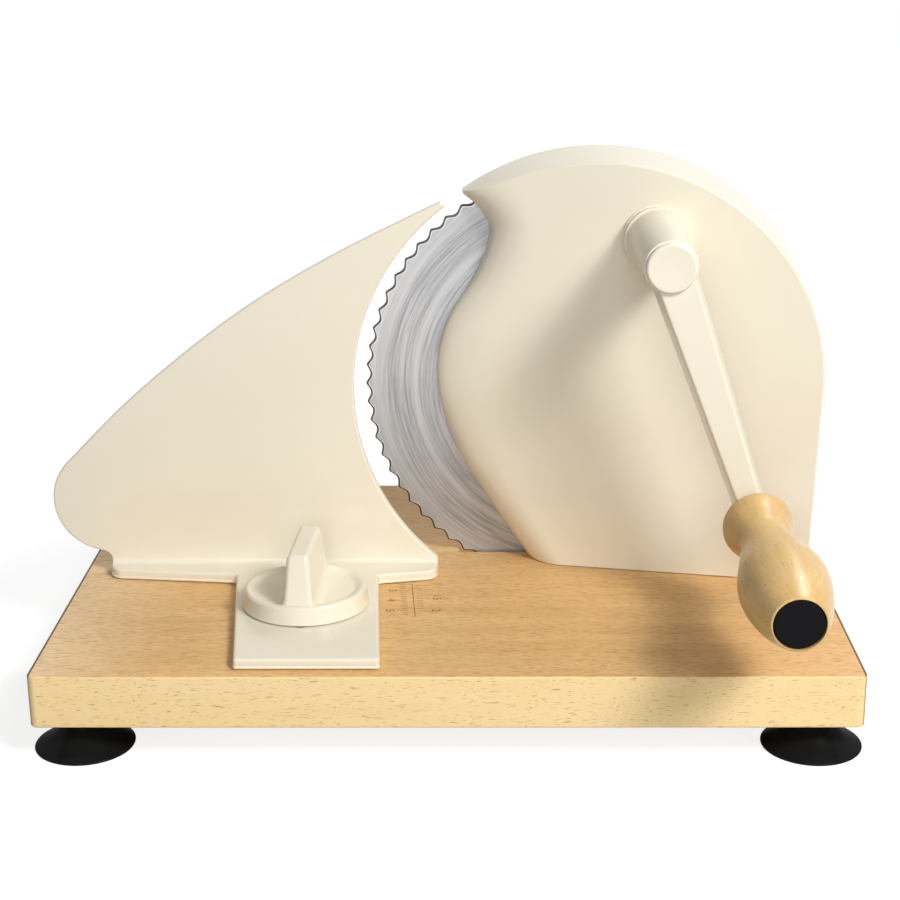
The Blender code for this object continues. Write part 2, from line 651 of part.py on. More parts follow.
def housing():
    """Cast shell with its lip in front of the blade, bosses, posts and bores."""
    rim_y = setback(HOUSING_RIM_SETBACK)
    pad_front = setback(CRANK_PAD_SETBACK)
    pad_back = pad_front + CRANK_PAD_DEPTH
    pad = [(0, pad_front), (CRANK_PAD_RADIUS - CRANK_PAD_SOFT, pad_front),
           (CRANK_PAD_RADIUS, pad_front + CRANK_PAD_SOFT), (CRANK_PAD_RADIUS + CRANK_PAD_FLARE, pad_back),
           (0, pad_back)]
    body = fused(shell(0, 0, rim_y), moved(turned(pad, ROUND_MEDIUM), x=CRANK_AXIS[0], z=CRANK_AXIS[1]))
    hollow = shell(HOUSING_WALL, HOUSING_BASE, rim_y + OVERSHOOT)
    gear_hub_front = GEAR_BACK - GEAR_HUB_LENGTH
    axle_boss = rod(AXLE_BOSS_RADIUS, FRONT, gear_hub_front - SEAT, ROUND_MEDIUM)
    pinion_front = GEAR_FRONT - PINION_HUB_LENGTH
    crank_boss = rod(CRANK_BOSS_RADIUS, FRONT, pinion_front - SEAT, ROUND_MEDIUM)
    hollow = cut(hollow, moved(axle_boss, x=BLADE_AXIS[0], z=BLADE_AXIS[1]),
                 moved(crank_boss, x=CRANK_AXIS[0], z=CRANK_AXIS[1]))
    for x in HOUSING_SCREW_XS:
        post = upright(rod(POST_RADIUS, -POST_HEIGHT, POST_HEIGHT, ROUND_SMALL))
        hollow = cut(hollow, moved(post, x=x, y=setback(POST_SETBACK), z=lift(0)))
    disc_room = blade_disc(BLADE_RADIUS + BLADE_ROOM, BLADE_FRONT - SEAT, rim_y + OVERSHOOT)
    body = cut(body, hollow, disc_room)
    axle_hole = rod(bore(AXLE_RADIUS, SEAT, ROUND_SMALL), gear_hub_front - AXLE_SEAT_DEPTH, BLADE_Y,
                    ROUND_SMALL)
    bush_radius = SHAFT_RADIUS + RUNNING + CRANK_BUSH_WALL
    bush_hole = rod(bore(bush_radius, SEAT, ROUND_SMALL), FRONT, BLADE_Y, ROUND_SMALL)
    recess = rod(bore(CRANK_BUSH_FLANGE, SEAT, ROUND_MEDIUM), FRONT,
                 pad_front + CRANK_BUSH_FLANGE_THICK, ROUND_MEDIUM)
    body = cut(body, moved(axle_hole, x=BLADE_AXIS[0], z=BLADE_AXIS[1]),
               moved(bush_hole, x=CRANK_AXIS[0], z=CRANK_AXIS[1]),
               moved(recess, x=CRANK_AXIS[0], z=CRANK_AXIS[1]))
    for x in HOUSING_SCREW_XS:
        thread = upright(rod(bore(HOUSING_SCREW_RADIUS, SEAT, ROUND_SMALL), -OVERSHOOT,
                             POST_HEIGHT - POST_CROWN, ROUND_SMALL))
        body = cut(body, moved(thread, x=x, y=setback(POST_SETBACK), z=lift(0)))
    return body


def housing_screw():
    """Pan-head screw that holds the housing from below."""
    top = lift(POST_HEIGHT - POST_CROWN) - SEAT
    low = SEAT
    under = low + SCREW_HEAD_HEIGHT
    return upright(turned([(0, low), (SCREW_HEAD_RADIUS * 0.85, low), (SCREW_HEAD_RADIUS, low * 3),
                           (SCREW_HEAD_RADIUS, under), (HOUSING_SCREW_RADIUS, under),
                           (HOUSING_SCREW_RADIUS, top), (0, top)], ROUND_SMALL))


def involute(angle):
    """Involute function."""
    return math.tan(angle) - angle


def gear_outline(teeth, first_tooth):
    """Outline of a spur gear with a tooth centred on the given angle."""
    pitch = GEAR_MODULE * teeth / 2
    base = pitch * math.cos(PRESSURE_ANGLE)
    tip = pitch + GEAR_MODULE
    root = pitch - 1.25 * GEAR_MODULE
    half = (math.pi * GEAR_MODULE / 2 - BACKLASH) / (2 * pitch)
    flank = [max(base, root), pitch, tip]
    outline = []
    for tooth in range(teeth):
        centre = first_tooth + math.tau * tooth / teeth
        widths = [half + involute(PRESSURE_ANGLE) - involute(math.acos(min(base / r, 1.0))) for r in flank]
        outline.append(polar(root, centre - widths[0]))
        outline += [polar(r, centre - w) for r, w in zip(flank[1:], widths[1:])]
        outline += [polar(r, centre + w) for r, w in zip(flank[:0:-1], widths[:0:-1])]
        outline.append(polar(root, centre + widths[0]))
    return outline


def blade_gear():
    """Spur gear on the blade's front, with a thin web, a hub and its rivet holes."""
    bm = plate(gear_outline(BLADE_GEAR_TEETH, CRANK_DIRECTION), "Y", GEAR_FRONT, GEAR_BACK)
    root = GEAR_MODULE * (BLADE_GEAR_TEETH / 2 - 1.25)
    web = turned([(GEAR_HUB_RADIUS, GEAR_BACK - GEAR_WEB), (root - GEAR_RIM, GEAR_BACK - GEAR_WEB),
                  (root - GEAR_RIM, GEAR_FRONT - OVERSHOOT), (GEAR_HUB_RADIUS, GEAR_FRONT - OVERSHOOT)],
                 ROUND_MEDIUM, closed=True)
    hub = rod(GEAR_HUB_RADIUS - SEAT, GEAR_BACK - GEAR_HUB_LENGTH, GEAR_BACK - GEAR_WEB / 2, ROUND_MEDIUM)
    bm = fused(cut(bm, web), hub)
    bush = AXLE_RADIUS + RUNNING + BUSH_WALL
    bm = cut(bm, rod(bore(bush, SEAT, ROUND_MEDIUM), FRONT, THROUGH, ROUND_MEDIUM))
    for index in range(RIVETS):
        x, z = polar(RIVET_CIRCLE, math.tau * index / RIVETS)
        hole = rod(bore(RIVET_RADIUS, SEAT, ROUND_SMALL), FRONT, THROUGH, ROUND_SMALL)
        bm = cut(bm, moved(hole, x=x, z=z))
    return bm


def blade():
    """Scalloped steel disc, stepped on the front and flat on the back."""
    count = BLADE_TEETH * TOOTH_POINTS
    edge = []
    for index in range(count):
        share = (index % TOOTH_POINTS) / TOOTH_POINTS
        dip = SCALLOP_DEPTH * math.sin(math.pi * share) ** 0.8
        edge.append(polar(BLADE_RADIUS - dip, math.tau * index / count))
    edge_y = BLADE_BACK - EDGE_THICK
    bevel_radius = BLADE_RADIUS - SCALLOP_DEPTH - EDGE_BEVEL
    bevel = [polar(bevel_radius, math.tau * index / count) for index in range(count)]
    front_outer = BLADE_FRONT + 2 * STEP_DEPTH
    front_middle = BLADE_FRONT + STEP_DEPTH
    coarse = [(STEP_OUTER_RADIUS + STEP_RUN, front_outer), (STEP_OUTER_RADIUS, front_middle),
              (STEP_INNER_RADIUS + STEP_RUN, front_middle), (STEP_INNER_RADIUS, BLADE_FRONT)]
    bm = bmesh.new()
    rim_front = [bm.verts.new((x, edge_y, z)) for x, z in edge]
    rim_back = [bm.verts.new((x, BLADE_BACK, z)) for x, z in edge]
    fine = [bm.verts.new((x, front_outer, z)) for x, z in bevel]
    for index in range(count):
        after = (index + 1) % count
        bm.faces.new((rim_back[index], rim_back[after], rim_front[after], rim_front[index]))
        bm.faces.new((rim_front[index], rim_front[after], fine[after], fine[index]))
    bm.faces.new(rim_back)
    row = fine
    for radius, y in coarse:
        new_row = []
        for tooth in range(BLADE_TEETH):
            x, z = polar(radius, math.tau * tooth / BLADE_TEETH)
            new_row.append(bm.verts.new((x, y, z)))
        ratio = len(row) // BLADE_TEETH
        for tooth in range(BLADE_TEETH):
            after = (tooth + 1) % BLADE_TEETH
            outer = [row[(tooth * ratio + step_index) % len(row)] for step_index in range(ratio + 1)]
            bm.faces.new((*outer, new_row[after], new_row[tooth]))
        row = new_row
    bm.faces.new(row)
    bmesh.ops.recalc_face_normals(bm, faces=bm.faces)
    centre = AXLE_RADIUS + RUNNING + BUSH_WALL
    bm = cut(bm, rod(bore(centre, SEAT, ROUND_MEDIUM), FRONT, THROUGH, ROUND_MEDIUM))
    for index in range(RIVETS):
        x, z = polar(RIVET_CIRCLE, math.tau * index / RIVETS)
        hole = rod(bore(RIVET_RADIUS, SEAT, ROUND_SMALL), FRONT, THROUGH, ROUND_SMALL)
        bm = cut(bm, moved(hole, x=x, z=z))
    return bm


def blade_rivet():
    """Rivet that ties the gear to the blade."""
    back = BLADE_BACK + SEAT + RIVET_HEAD_HEIGHT
    front = GEAR_BACK - GEAR_WEB - SEAT
    crown = RIVET_HEAD_HEIGHT
    return turned([(0, front - crown), (RIVET_HEAD_RADIUS * 0.8, front - crown * 0.8),
                   (RIVET_HEAD_RADIUS, front), (RIVET_RADIUS, front), (RIVET_RADIUS, back - crown),
                   (RIVET_HEAD_RADIUS, back - crown), (RIVET_HEAD_RADIUS * 0.8, back - crown * 0.2),
                   (0, back)], ROUND_SMALL)


def blade_bush():
    """Plain bearing pressed into the gear's hub and the blade."""
    inner = AXLE_RADIUS + RUNNING
    return tube(inner, inner + BUSH_WALL, GEAR_BACK - GEAR_HUB_LENGTH, BLADE_BACK, ROUND_MEDIUM)


def blade_axle():
    """Fixed axle, pressed into the housing's boss and bored for the retaining screw."""
    front = GEAR_BACK - GEAR_HUB_LENGTH - AXLE_SEAT_DEPTH + SEAT
    back = BLADE_BACK + SEAT
    bm = rod(AXLE_RADIUS, front, back, ROUND_MEDIUM)
    thread = rod(bore(BLADE_SCREW_RADIUS, SEAT, ROUND_SMALL), back - BLADE_SCREW_REACH,
                 back + OVERSHOOT, ROUND_SMALL)
    return cut(bm, thread)


def blade_washer():
    """Large washer that keeps the blade on its axle."""
    start = BLADE_BACK + SEAT * 2
    return tube(BLADE_SCREW_RADIUS + SEAT, BLADE_WASHER_RADIUS, start, start + BLADE_WASHER_THICK,
                ROUND_MEDIUM)


def blade_screw():
    """Domed, slotted screw in the end of the axle."""
    start = BLADE_BACK + SEAT * 3 + BLADE_WASHER_THICK
    top = start + BLADE_SCREW_HEAD_HEIGHT
    tip = start - BLADE_SCREW_REACH
    bm = turned([(0, tip), (BLADE_SCREW_RADIUS, tip), (BLADE_SCREW_RADIUS, start),
                 (BLADE_SCREW_HEAD_RADIUS, start),
                 (BLADE_SCREW_HEAD_RADIUS, start + BLADE_SCREW_HEAD_HEIGHT / 3),
                 (BLADE_SCREW_HEAD_RADIUS * 0.75, top - SEAT), (0, top)], ROUND_MEDIUM)
    half = BLADE_SCREW_SLOT_WIDTH / 2
    reach = BLADE_SCREW_HEAD_RADIUS * 1.5
    slot = plate([(-reach, -half), (reach, -half), (reach, half), (-reach, half)], "Y",
                 top - BLADE_SCREW_SLOT_DEPTH, top + OVERSHOOT)
    return cut(bm, slot)


def crank_bush():
    """Flanged bearing in the housing's crank boss."""
    start = setback(CRANK_PAD_SETBACK) + SEAT
    flange = start + CRANK_BUSH_FLANGE_THICK - SEAT * 2
    end = GEAR_FRONT - PINION_HUB_LENGTH - SEAT * 2
    inner = bore(SHAFT_RADIUS, RUNNING, ROUND_MEDIUM)
    outer = SHAFT_RADIUS + RUNNING + CRANK_BUSH_WALL
    return turned([(inner, start), (CRANK_BUSH_FLANGE, start), (CRANK_BUSH_FLANGE, flange),
                   (outer, flange), (outer, end), (inner, end)], ROUND_MEDIUM, closed=True)


def crank_shaft():
    """Steel shaft from the crank's hub to the pinion."""
    return rod(SHAFT_RADIUS, setback(HUB_FRONT_SETBACK) + HUB_SOLID, GEAR_BACK - SEAT, ROUND_MEDIUM,
               PIN_CHAMFER)


def drive_pinion():
    """Small gear on the shaft, with its hub and a tooth gap facing the blade gear."""
    facing = CRANK_DIRECTION + math.pi + math.pi / PINION_TEETH
    bm = plate(gear_outline(PINION_TEETH, facing), "Y", GEAR_FRONT, GEAR_BACK - SEAT)
    hub = rod(PINION_HUB_RADIUS, GEAR_FRONT - PINION_HUB_LENGTH, GEAR_FRONT + OVERSHOOT,
              ROUND_MEDIUM)
    hole = rod(bore(SHAFT_RADIUS, SEAT, ROUND_MEDIUM), FRONT, THROUGH, ROUND_MEDIUM)
    return cut(fused(bm, hub), hole)


def tapered_ring(start_half, end_half, y, length):
    """Outline round a bar that narrows from one round end to the other, along -Z."""
    lean = math.asin((start_half - end_half) / length)
    upper = arc((0, 0), start_half, math.pi + lean, -lean, 16)
    lower = arc((0, -length), end_half, -lean, -math.pi + lean, 12)
    return [(x, y, z) for x, z in upper + lower]


def crank_arm():
    """Cast arm with its long tapered hub and the boss that carries the grip spindle."""
    hub_front = setback(HUB_FRONT_SETBACK)
    hub_back = setback(CRANK_PAD_SETBACK) - SEAT
    arm_front = hub_front + HUB_CAP_RISE
    arm_back = arm_front + ARM_THICK
    hub = turned([(0, hub_front), (HUB_CAP_RADIUS - HUB_EDGE, hub_front),
                  (HUB_CAP_RADIUS, hub_front + HUB_EDGE), (HUB_CAP_RADIUS, arm_front),
                  (HUB_FRONT_RADIUS, arm_front + HUB_EDGE * 2),
                  (HUB_BACK_RADIUS, hub_back), (0, hub_back)], ROUND_MEDIUM)
    wide = (ARM_HUB_HALF_WIDTH, ARM_END_HALF_WIDTH)
    slim = (wide[0] - ARM_DRAFT, wide[1] - ARM_DRAFT)
    top = (slim[0] - ARM_EDGE, slim[1] - ARM_EDGE)
    arm = lofted([tapered_ring(*wide, arm_back, CRANK_RADIUS),
                  tapered_ring(*slim, arm_front + ARM_EDGE, CRANK_RADIUS),
                  tapered_ring(slim[0] - ARM_EDGE * 0.3, slim[1] - ARM_EDGE * 0.3,
                               arm_front + ARM_EDGE * 0.3, CRANK_RADIUS),
                  tapered_ring(*top, arm_front, CRANK_RADIUS)])
    end = moved(rod(ARM_END_RADIUS, arm_front + RUNNING, arm_back + HUB_EDGE, ROUND_MEDIUM, ARM_EDGE),
                z=-CRANK_RADIUS)
    bm = fused(hub, arm, end)
    shaft_hole = rod(bore(SHAFT_RADIUS, SEAT, ROUND_MEDIUM), hub_front + HUB_SOLID - SEAT, THROUGH,
                     ROUND_MEDIUM)
    pin_hole = rod(bore(SPINDLE_RADIUS, SEAT, ROUND_SMALL), arm_front - OVERSHOOT, arm_back + OVERSHOOT,
                   ROUND_SMALL)
    bm = cut(bm, shaft_hole, moved(pin_hole, z=-CRANK_RADIUS))
    bmesh.ops.rotate(bm, verts=bm.verts, cent=(0, 0, 0), matrix=Matrix.Rotation(-CRANK_REST, 3, "Y"))
    return bm


GRIP_BACK = setback(HUB_FRONT_SETBACK) + HUB_CAP_RISE - SEAT * 2 - GRIP_WASHER_THICK
GRIP_FRONT = GRIP_BACK - GRIP_LENGTH
GRIP_WELL = GRIP_CAP_THICK + GRIP_NUT_THICK + GRIP_NUT_ROOM


def grip():
    """Turned wooden grip: bead, neck and belly, bored for the spindle and its nut."""
    rise = (GRIP_NECK_AT + GRIP_BELLY_AT) / 2 - GRIP_SWELL
    fall = (GRIP_BELLY_AT + GRIP_LENGTH) / 2 + GRIP_SWELL * 2
    stations = [(GRIP_BACK_RADIUS, 0.0), (GRIP_BEAD_RADIUS * 0.95, GRIP_BEAD_AT * 0.40),
                (GRIP_BEAD_RADIUS, GRIP_BEAD_AT), (GRIP_NECK_RADIUS + GRIP_SWELL, GRIP_NECK_AT * 0.66),
                (GRIP_NECK_RADIUS, GRIP_NECK_AT), ((GRIP_NECK_RADIUS + GRIP_BELLY_RADIUS) / 2, rise),
                (GRIP_BELLY_RADIUS, GRIP_BELLY_AT),
                ((GRIP_BELLY_RADIUS + GRIP_END_RADIUS) / 2 + GRIP_SWELL, fall),
                (GRIP_END_RADIUS, GRIP_LENGTH - GRIP_END_ROUND)]
    profile = [(radius, GRIP_BACK - along) for radius, along in smooth_curve(stations, 2)]
    through = bore(SPINDLE_RADIUS, RUNNING, ROUND_MEDIUM)
    well = bore(GRIP_CAP_RADIUS, SEAT, ROUND_MEDIUM)
    profile += [(GRIP_END_RADIUS - GRIP_END_ROUND, GRIP_FRONT), (well, GRIP_FRONT),
                (well, GRIP_FRONT + GRIP_WELL), (through, GRIP_FRONT + GRIP_WELL), (through, GRIP_BACK)]
    return turned(profile, ROUND_MEDIUM, closed=True)


def grip_spindle():
    """Steel pin, pressed into the arm and running through the grip."""
    back = setback(HUB_FRONT_SETBACK) + HUB_CAP_RISE + ARM_THICK
    return rod(SPINDLE_RADIUS, GRIP_FRONT + GRIP_CAP_THICK + GRIP_NUT_ROOM / 2, back, ROUND_SMALL,
               PIN_CHAMFER)


def grip_washer():
    """Washer between arm and grip."""
    return tube(SPINDLE_RADIUS + SEAT, GRIP_WASHER_RADIUS, GRIP_BACK + SEAT,
                GRIP_BACK + SEAT + GRIP_WASHER_THICK, ROUND_SMALL)


def grip_nut():
    """Round nut that keeps the grip on the spindle."""
    start = GRIP_FRONT + GRIP_WELL - SEAT - GRIP_NUT_THICK
    return tube(SPINDLE_RADIUS + SEAT, GRIP_NUT_RADIUS, start, start + GRIP_NUT_THICK, ROUND_SMALL)


def grip_cap():
    """Black plug in the grip's front end."""
    return rod(GRIP_CAP_RADIUS, GRIP_FRONT + SEAT, GRIP_FRONT + GRIP_CAP_THICK - SEAT, ROUND_MEDIUM,
               PIN_CHAMFER)


def bowed(start, end, share, bow):
    """Point part of the way from start to end, and moved sideways by the bow."""
    run = (end[0] - start[0], end[1] - start[1])
    size = math.hypot(*run)
    return (start[0] + run[0] * share - run[1] / size * bow,
            start[1] + run[1] * share + run[0] / size * bow)


def fin_outline():
    """Upright of the stop plate, seen from the front."""
    low = SEAT + PLATE_THICK / 2
    corner_x = PLATE_RIGHT_X
    depth = math.sqrt(FIN_ARC_RADIUS ** 2 - (FIN_ARC_CENTRE[0] - corner_x) ** 2)
    corner = math.atan2(-depth, corner_x - FIN_ARC_CENTRE[0])
    out = FIN_ARC_RADIUS + FIN_TIP_OUT
    tip = (FIN_ARC_CENTRE[0] + out * math.cos(FIN_TIP_ANGLE),
           FIN_ARC_CENTRE[1] + out * math.sin(FIN_TIP_ANGLE))
    flat = math.atan2(tip[1] - FIN_TIP_FLAT[1] - FIN_ARC_CENTRE[1],
                      tip[0] + FIN_TIP_FLAT[0] - FIN_ARC_CENTRE[0])
    concave = arc(FIN_ARC_CENTRE, FIN_ARC_RADIUS, corner + math.tau, flat, 30)
    nose = arc(FIN_NOSE_CENTRE, FIN_NOSE_RADIUS, math.radians(134), math.radians(258), 12)
    top = [bowed(nose[0], tip, share, bow) for share, bow in FIN_BOWS]
    upper = smooth_curve([tip, *top, nose[0]], 5)
    step = (PLATE_LEFT_X - FIN_NOTCH_RADIUS, nose[-1][1] - SEAT - FIN_NOTCH_RADIUS)
    notch = arc(step, FIN_NOTCH_RADIUS, math.radians(90), 0, 3)
    return [(corner_x, low), *concave, *upper[:-1], *nose, *notch, (PLATE_LEFT_X, low)]


def base_outline():
    """Flange and tongue of the stop plate, seen from above."""
    back = FIN_SETBACK + FIN_THICK
    corner = PLATE_CORNER
    left = [(PLATE_LEFT_X, back), *arc((PLATE_LEFT_X + corner, FLANGE_LEFT_SETBACK + corner), corner,
                                       math.pi, math.radians(262), 4)]
    turn = TONGUE_CORNER
    front = TONGUE_FRONT_SETBACK + turn
    tongue = [(TONGUE_BACK_XS[0] - turn, FLANGE_MIDDLE_SETBACK + turn / 2),
              (TONGUE_BACK_XS[0], FLANGE_MIDDLE_SETBACK - turn),
              *arc((TONGUE_FRONT_XS[0] + turn, front), turn, math.radians(186), math.radians(270), 3),
              *arc((TONGUE_FRONT_XS[1] - turn, front), turn, math.radians(270), math.radians(357), 3),
              (TONGUE_BACK_XS[1], FLANGE_MIDDLE_SETBACK - turn),
              (TONGUE_BACK_XS[1] + turn, FLANGE_MIDDLE_SETBACK)]
    right = [*arc((PLATE_RIGHT_X - corner, FLANGE_RIGHT_SETBACK + corner), corner,
                  math.radians(280), math.tau, 4), (PLATE_RIGHT_X, back)]
    return [(x, setback(y)) for x, y in left + tongue + right]


def stop_plate():
    """Cast stop plate: fin, filleted flange and slotted tongue."""
    front = setback(FIN_SETBACK)
    back = front + FIN_THICK
    fin = rounded(plate([(x, lift(z)) for x, z in fin_outline()], "Y", front, back), FIN_EDGE)
    base = rounded(plate(base_outline(), "Z", lift(SEAT), PLATE_TOP), PLATE_EDGE)
    margin = FIN_EDGE / 2
    sections = []
    for x, radius in ((PLATE_LEFT_X + margin, FIN_FILLET), (PLATE_RIGHT_X - FILLET_FADE, FIN_FILLET),
                      (PLATE_RIGHT_X - margin, FIN_FILLET * 0.25)):
        curve = [(front - radius + y, PLATE_TOP + radius + z)
                 for y, z in arc((0, 0), radius, 0, -math.pi / 2, 5)]
        section = [(front + FIN_THICK / 2, PLATE_TOP - OVERSHOOT),
                   (front + FIN_THICK / 2, PLATE_TOP + radius), *curve,
                   (front - radius, PLATE_TOP - OVERSHOOT)]
        sections.append([(x, y, z) for y, z in section])
    bm = fused(fin, base, lofted(sections))
    half = CLAMP_STUD_RADIUS + SLOT_ROOM
    near = setback(KNOB_SETBACK) - TRAVEL_BACK
    far = setback(KNOB_SETBACK) + TRAVEL_FRONT
    slot = arc((KNOB_X, far), half, 0, math.pi, 8) + arc((KNOB_X, near), half, math.pi, math.tau, 8)
    return cut(bm, plate(slot, "Z", 0, PLATE_TOP + OVERSHOOT))


def clamp_knob():
    """Winged knob with a dished top, a washer recess and a bore for its stud."""
    low = PLATE_TOP + SEAT
    top = low + KNOB_DISC_HEIGHT
    dish = top - KNOB_DISH
    height = low + KNOB_HEIGHT
    recess = bore(CLAMP_WASHER_RADIUS, SEAT, ROUND_MEDIUM)
    recess_top = low + CLAMP_WASHER_THICK + SEAT
    soft = KNOB_SOFT
    bm = upright(turned([(0, recess_top), (recess, recess_top), (recess, low),
                         (KNOB_RADIUS - soft / 3, low), (KNOB_RADIUS, low + soft / 3),
                         (KNOB_TOP_RADIUS + soft, top - soft),
                         (KNOB_TOP_RADIUS + soft * 0.6, top - soft * 0.3), (KNOB_TOP_RADIUS, top),
                         (KNOB_TOP_RADIUS - KNOB_DISH_RUN, top - KNOB_DISH * 0.6),
                         (KNOB_TOP_RADIUS * 0.5, dish), (0, dish)], ROUND_LARGE // 2))
    rings = []
    for z, flare in ((low + KNOB_DISC_HEIGHT * 0.4, 1), (dish, 1), (dish + WING_FLARE * 0.2, 0.40),
                     (dish + WING_FLARE * 0.5, 0.13), (dish + WING_FLARE, 0), (height, 0)):
        share = (z - low) / KNOB_HEIGHT
        half_x = (WING_BASE_WIDTH + (WING_TOP_WIDTH - WING_BASE_WIDTH) * share) / 2 + WING_FLARE * flare
        half_y = (WING_BASE_LENGTH + (WING_TOP_LENGTH - WING_BASE_LENGTH) * share) / 2
        rings.append([(sx * half_x, sy * half_y, z) for sx, sy in ((-1, -1), (1, -1), (1, 1), (-1, 1))])
    wing = rounded(lofted(rings), WING_EDGE, segments=3, least_angle=70)
    bmesh.ops.rotate(wing, verts=wing.verts, cent=(0, 0, 0), matrix=Matrix.Rotation(KNOB_TURN, 3, "Z"))
    bm = fused(bm, wing)
    hole = upright(rod(bore(CLAMP_STUD_RADIUS, SEAT, ROUND_SMALL), low - OVERSHOOT,
                       low + CLAMP_STUD_IN_KNOB + SEAT, ROUND_SMALL))
    return cut(bm, hole)


def clamp_stud():
    """Threaded stud moulded into the knob; it turns in the board's insert."""
    low = INSERT_FLANGE_THICK
    return upright(rod(CLAMP_STUD_RADIUS, low, PLATE_TOP + SEAT + CLAMP_STUD_IN_KNOB, ROUND_SMALL,
                       PIN_CHAMFER))


def clamp_washer():
    """Washer between knob and tongue."""
    return upright(tube(CLAMP_STUD_RADIUS + SEAT, CLAMP_WASHER_RADIUS, PLATE_TOP + SEAT,
                        PLATE_TOP + SEAT + CLAMP_WASHER_THICK - SEAT, ROUND_MEDIUM))


def clamp_insert():
    """Brass insert with a flange, let into the board from below."""
    inner = bore(CLAMP_STUD_RADIUS, RUNNING, ROUND_SMALL)
    outer = CLAMP_STUD_RADIUS + RUNNING + INSERT_WALL
    flange = INSERT_FLANGE_THICK + SEAT
    return upright(turned([(inner, SEAT), (INSERT_FLANGE_RADIUS, SEAT), (INSERT_FLANGE_RADIUS, flange),
                           (outer, flange), (outer, BOARD_THICK - SEAT), (inner, BOARD_THICK - SEAT)],
                          ROUND_SMALL, closed=True))


def build_base():
    """Everything that stays still."""
    place("board", board(), BEECH)
    for name, x, y in foot_centres():
        place("foot_" + name, moved(suction_foot(), x=x, y=y), RUBBER)
        place("foot_stud_" + name, moved(foot_stud(), x=x, y=y), STEEL)
    place("housing", housing(), CREAM)
    for number, x in enumerate(HOUSING_SCREW_XS, 1):
        place(f"housing_screw_{number}", moved(housing_screw(), x=x, y=setback(POST_SETBACK)), STEEL)
    place("blade_axle", moved(blade_axle(), x=BLADE_AXIS[0], z=BLADE_AXIS[1]), STEEL)
    place("blade_washer", moved(blade_washer(), x=BLADE_AXIS[0], z=BLADE_AXIS[1]), STEEL)
    place("blade_screw", moved(blade_screw(), x=BLADE_AXIS[0], z=BLADE_AXIS[1]), STEEL)
    place("crank_bush", moved(crank_bush(), x=CRANK_AXIS[0], z=CRANK_AXIS[1]), BRASS)
    place("clamp_insert", moved(clamp_insert(), x=KNOB_X, y=setback(KNOB_SETBACK)), BRASS)


def build_blade():
    """Blade, gear, bush and rivets about the blade's axis."""
    axis = axis_empty("blade_axis", x=BLADE_AXIS[0], z=BLADE_AXIS[1])
    place("blade", blade(), STEEL, axis)
    place("blade_gear", blade_gear(), NYLON, axis)
    place("blade_bush", blade_bush(), BRASS, axis)
    for index in range(RIVETS):
        x, z = polar(RIVET_CIRCLE, math.tau * index / RIVETS)
        place(f"blade_rivet_{index + 1}", moved(blade_rivet(), x=x, z=z), STEEL, axis)


def build_crank():
    """Shaft, pinion, arm and grip about the crank's axis."""
    axis = axis_empty("crank_axis", x=CRANK_AXIS[0], z=CRANK_AXIS[1])
    place("crank_shaft", crank_shaft(), STEEL, axis)
    place("drive_pinion", drive_pinion(), STEEL, axis)
    place("crank_arm", crank_arm(), CREAM, axis)
    grip_axis = axis_empty("grip_axis", x=GRIP_AXIS[0] - CRANK_AXIS[0], z=GRIP_AXIS[1] - CRANK_AXIS[1],
                           parent=axis)
    place("grip_spindle", grip_spindle(), STEEL, grip_axis)
    place("grip_washer", grip_washer(), STEEL, grip_axis)
    place("grip_nut", grip_nut(), STEEL, grip_axis)
    place("grip", grip(), PALE_WOOD, grip_axis)
    place("grip_cap", grip_cap(), BLACK_PLASTIC, grip_axis)


def build_stop():
    """Stop plate and the clamp that holds it."""
    place("stop_plate", stop_plate(), CREAM)
    axis = axis_empty("knob_axis", x=KNOB_X, y=setback(KNOB_SETBACK))
    place("clamp_knob", clamp_knob(), CREAM, axis)
    place("clamp_stud", clamp_stud(), STEEL, axis)
    place("clamp_washer", clamp_washer(), STEEL, axis)


def main():
    """Clear the scene and build the slicer."""
    for item in list(bpy.data.objects):
        bpy.data.objects.remove(item, do_unlink=True)
    build_base()
    build_blade()
    build_crank()
    build_stop()


main()
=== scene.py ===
"""Looks of a hand-cranked bread slicer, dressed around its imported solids.

Metres. X runs to the right as seen from the crank side, Y away from it and Z up. Setbacks are
measured from the board's front edge and lifts from its top face.
"""
import json
import logging
import math
from collections.abc import Callable, Iterable, Sequence
from dataclasses import dataclass
from enum import Enum

import bmesh
import bpy
from mathutils import Matrix, Vector


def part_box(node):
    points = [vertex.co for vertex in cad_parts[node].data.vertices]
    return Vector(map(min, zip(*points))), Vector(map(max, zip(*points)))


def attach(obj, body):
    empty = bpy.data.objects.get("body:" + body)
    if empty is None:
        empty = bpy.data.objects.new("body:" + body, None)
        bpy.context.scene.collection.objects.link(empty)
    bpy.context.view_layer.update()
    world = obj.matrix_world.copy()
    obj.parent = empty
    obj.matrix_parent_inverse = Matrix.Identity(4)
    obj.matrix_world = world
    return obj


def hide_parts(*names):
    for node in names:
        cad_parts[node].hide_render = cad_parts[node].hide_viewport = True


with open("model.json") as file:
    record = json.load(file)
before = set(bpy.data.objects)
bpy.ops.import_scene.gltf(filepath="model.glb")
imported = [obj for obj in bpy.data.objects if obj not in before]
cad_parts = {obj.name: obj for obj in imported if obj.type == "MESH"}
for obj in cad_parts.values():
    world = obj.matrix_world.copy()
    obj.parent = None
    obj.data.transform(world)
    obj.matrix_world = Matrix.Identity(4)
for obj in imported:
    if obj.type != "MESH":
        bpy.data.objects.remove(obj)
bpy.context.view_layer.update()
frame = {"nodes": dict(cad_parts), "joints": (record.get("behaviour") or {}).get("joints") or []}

LOG = logging.getLogger("slicer")
JOINTS = {joint["name"]: joint for joint in frame["joints"]}

Point = tuple[float, float]
Triple = tuple[float, float, float]
Mesh = bmesh.types.BMesh
Socket = bpy.types.NodeSocket
Sockets = bpy.types.bpy_prop_collection
Source = Socket | float | Sequence[float]

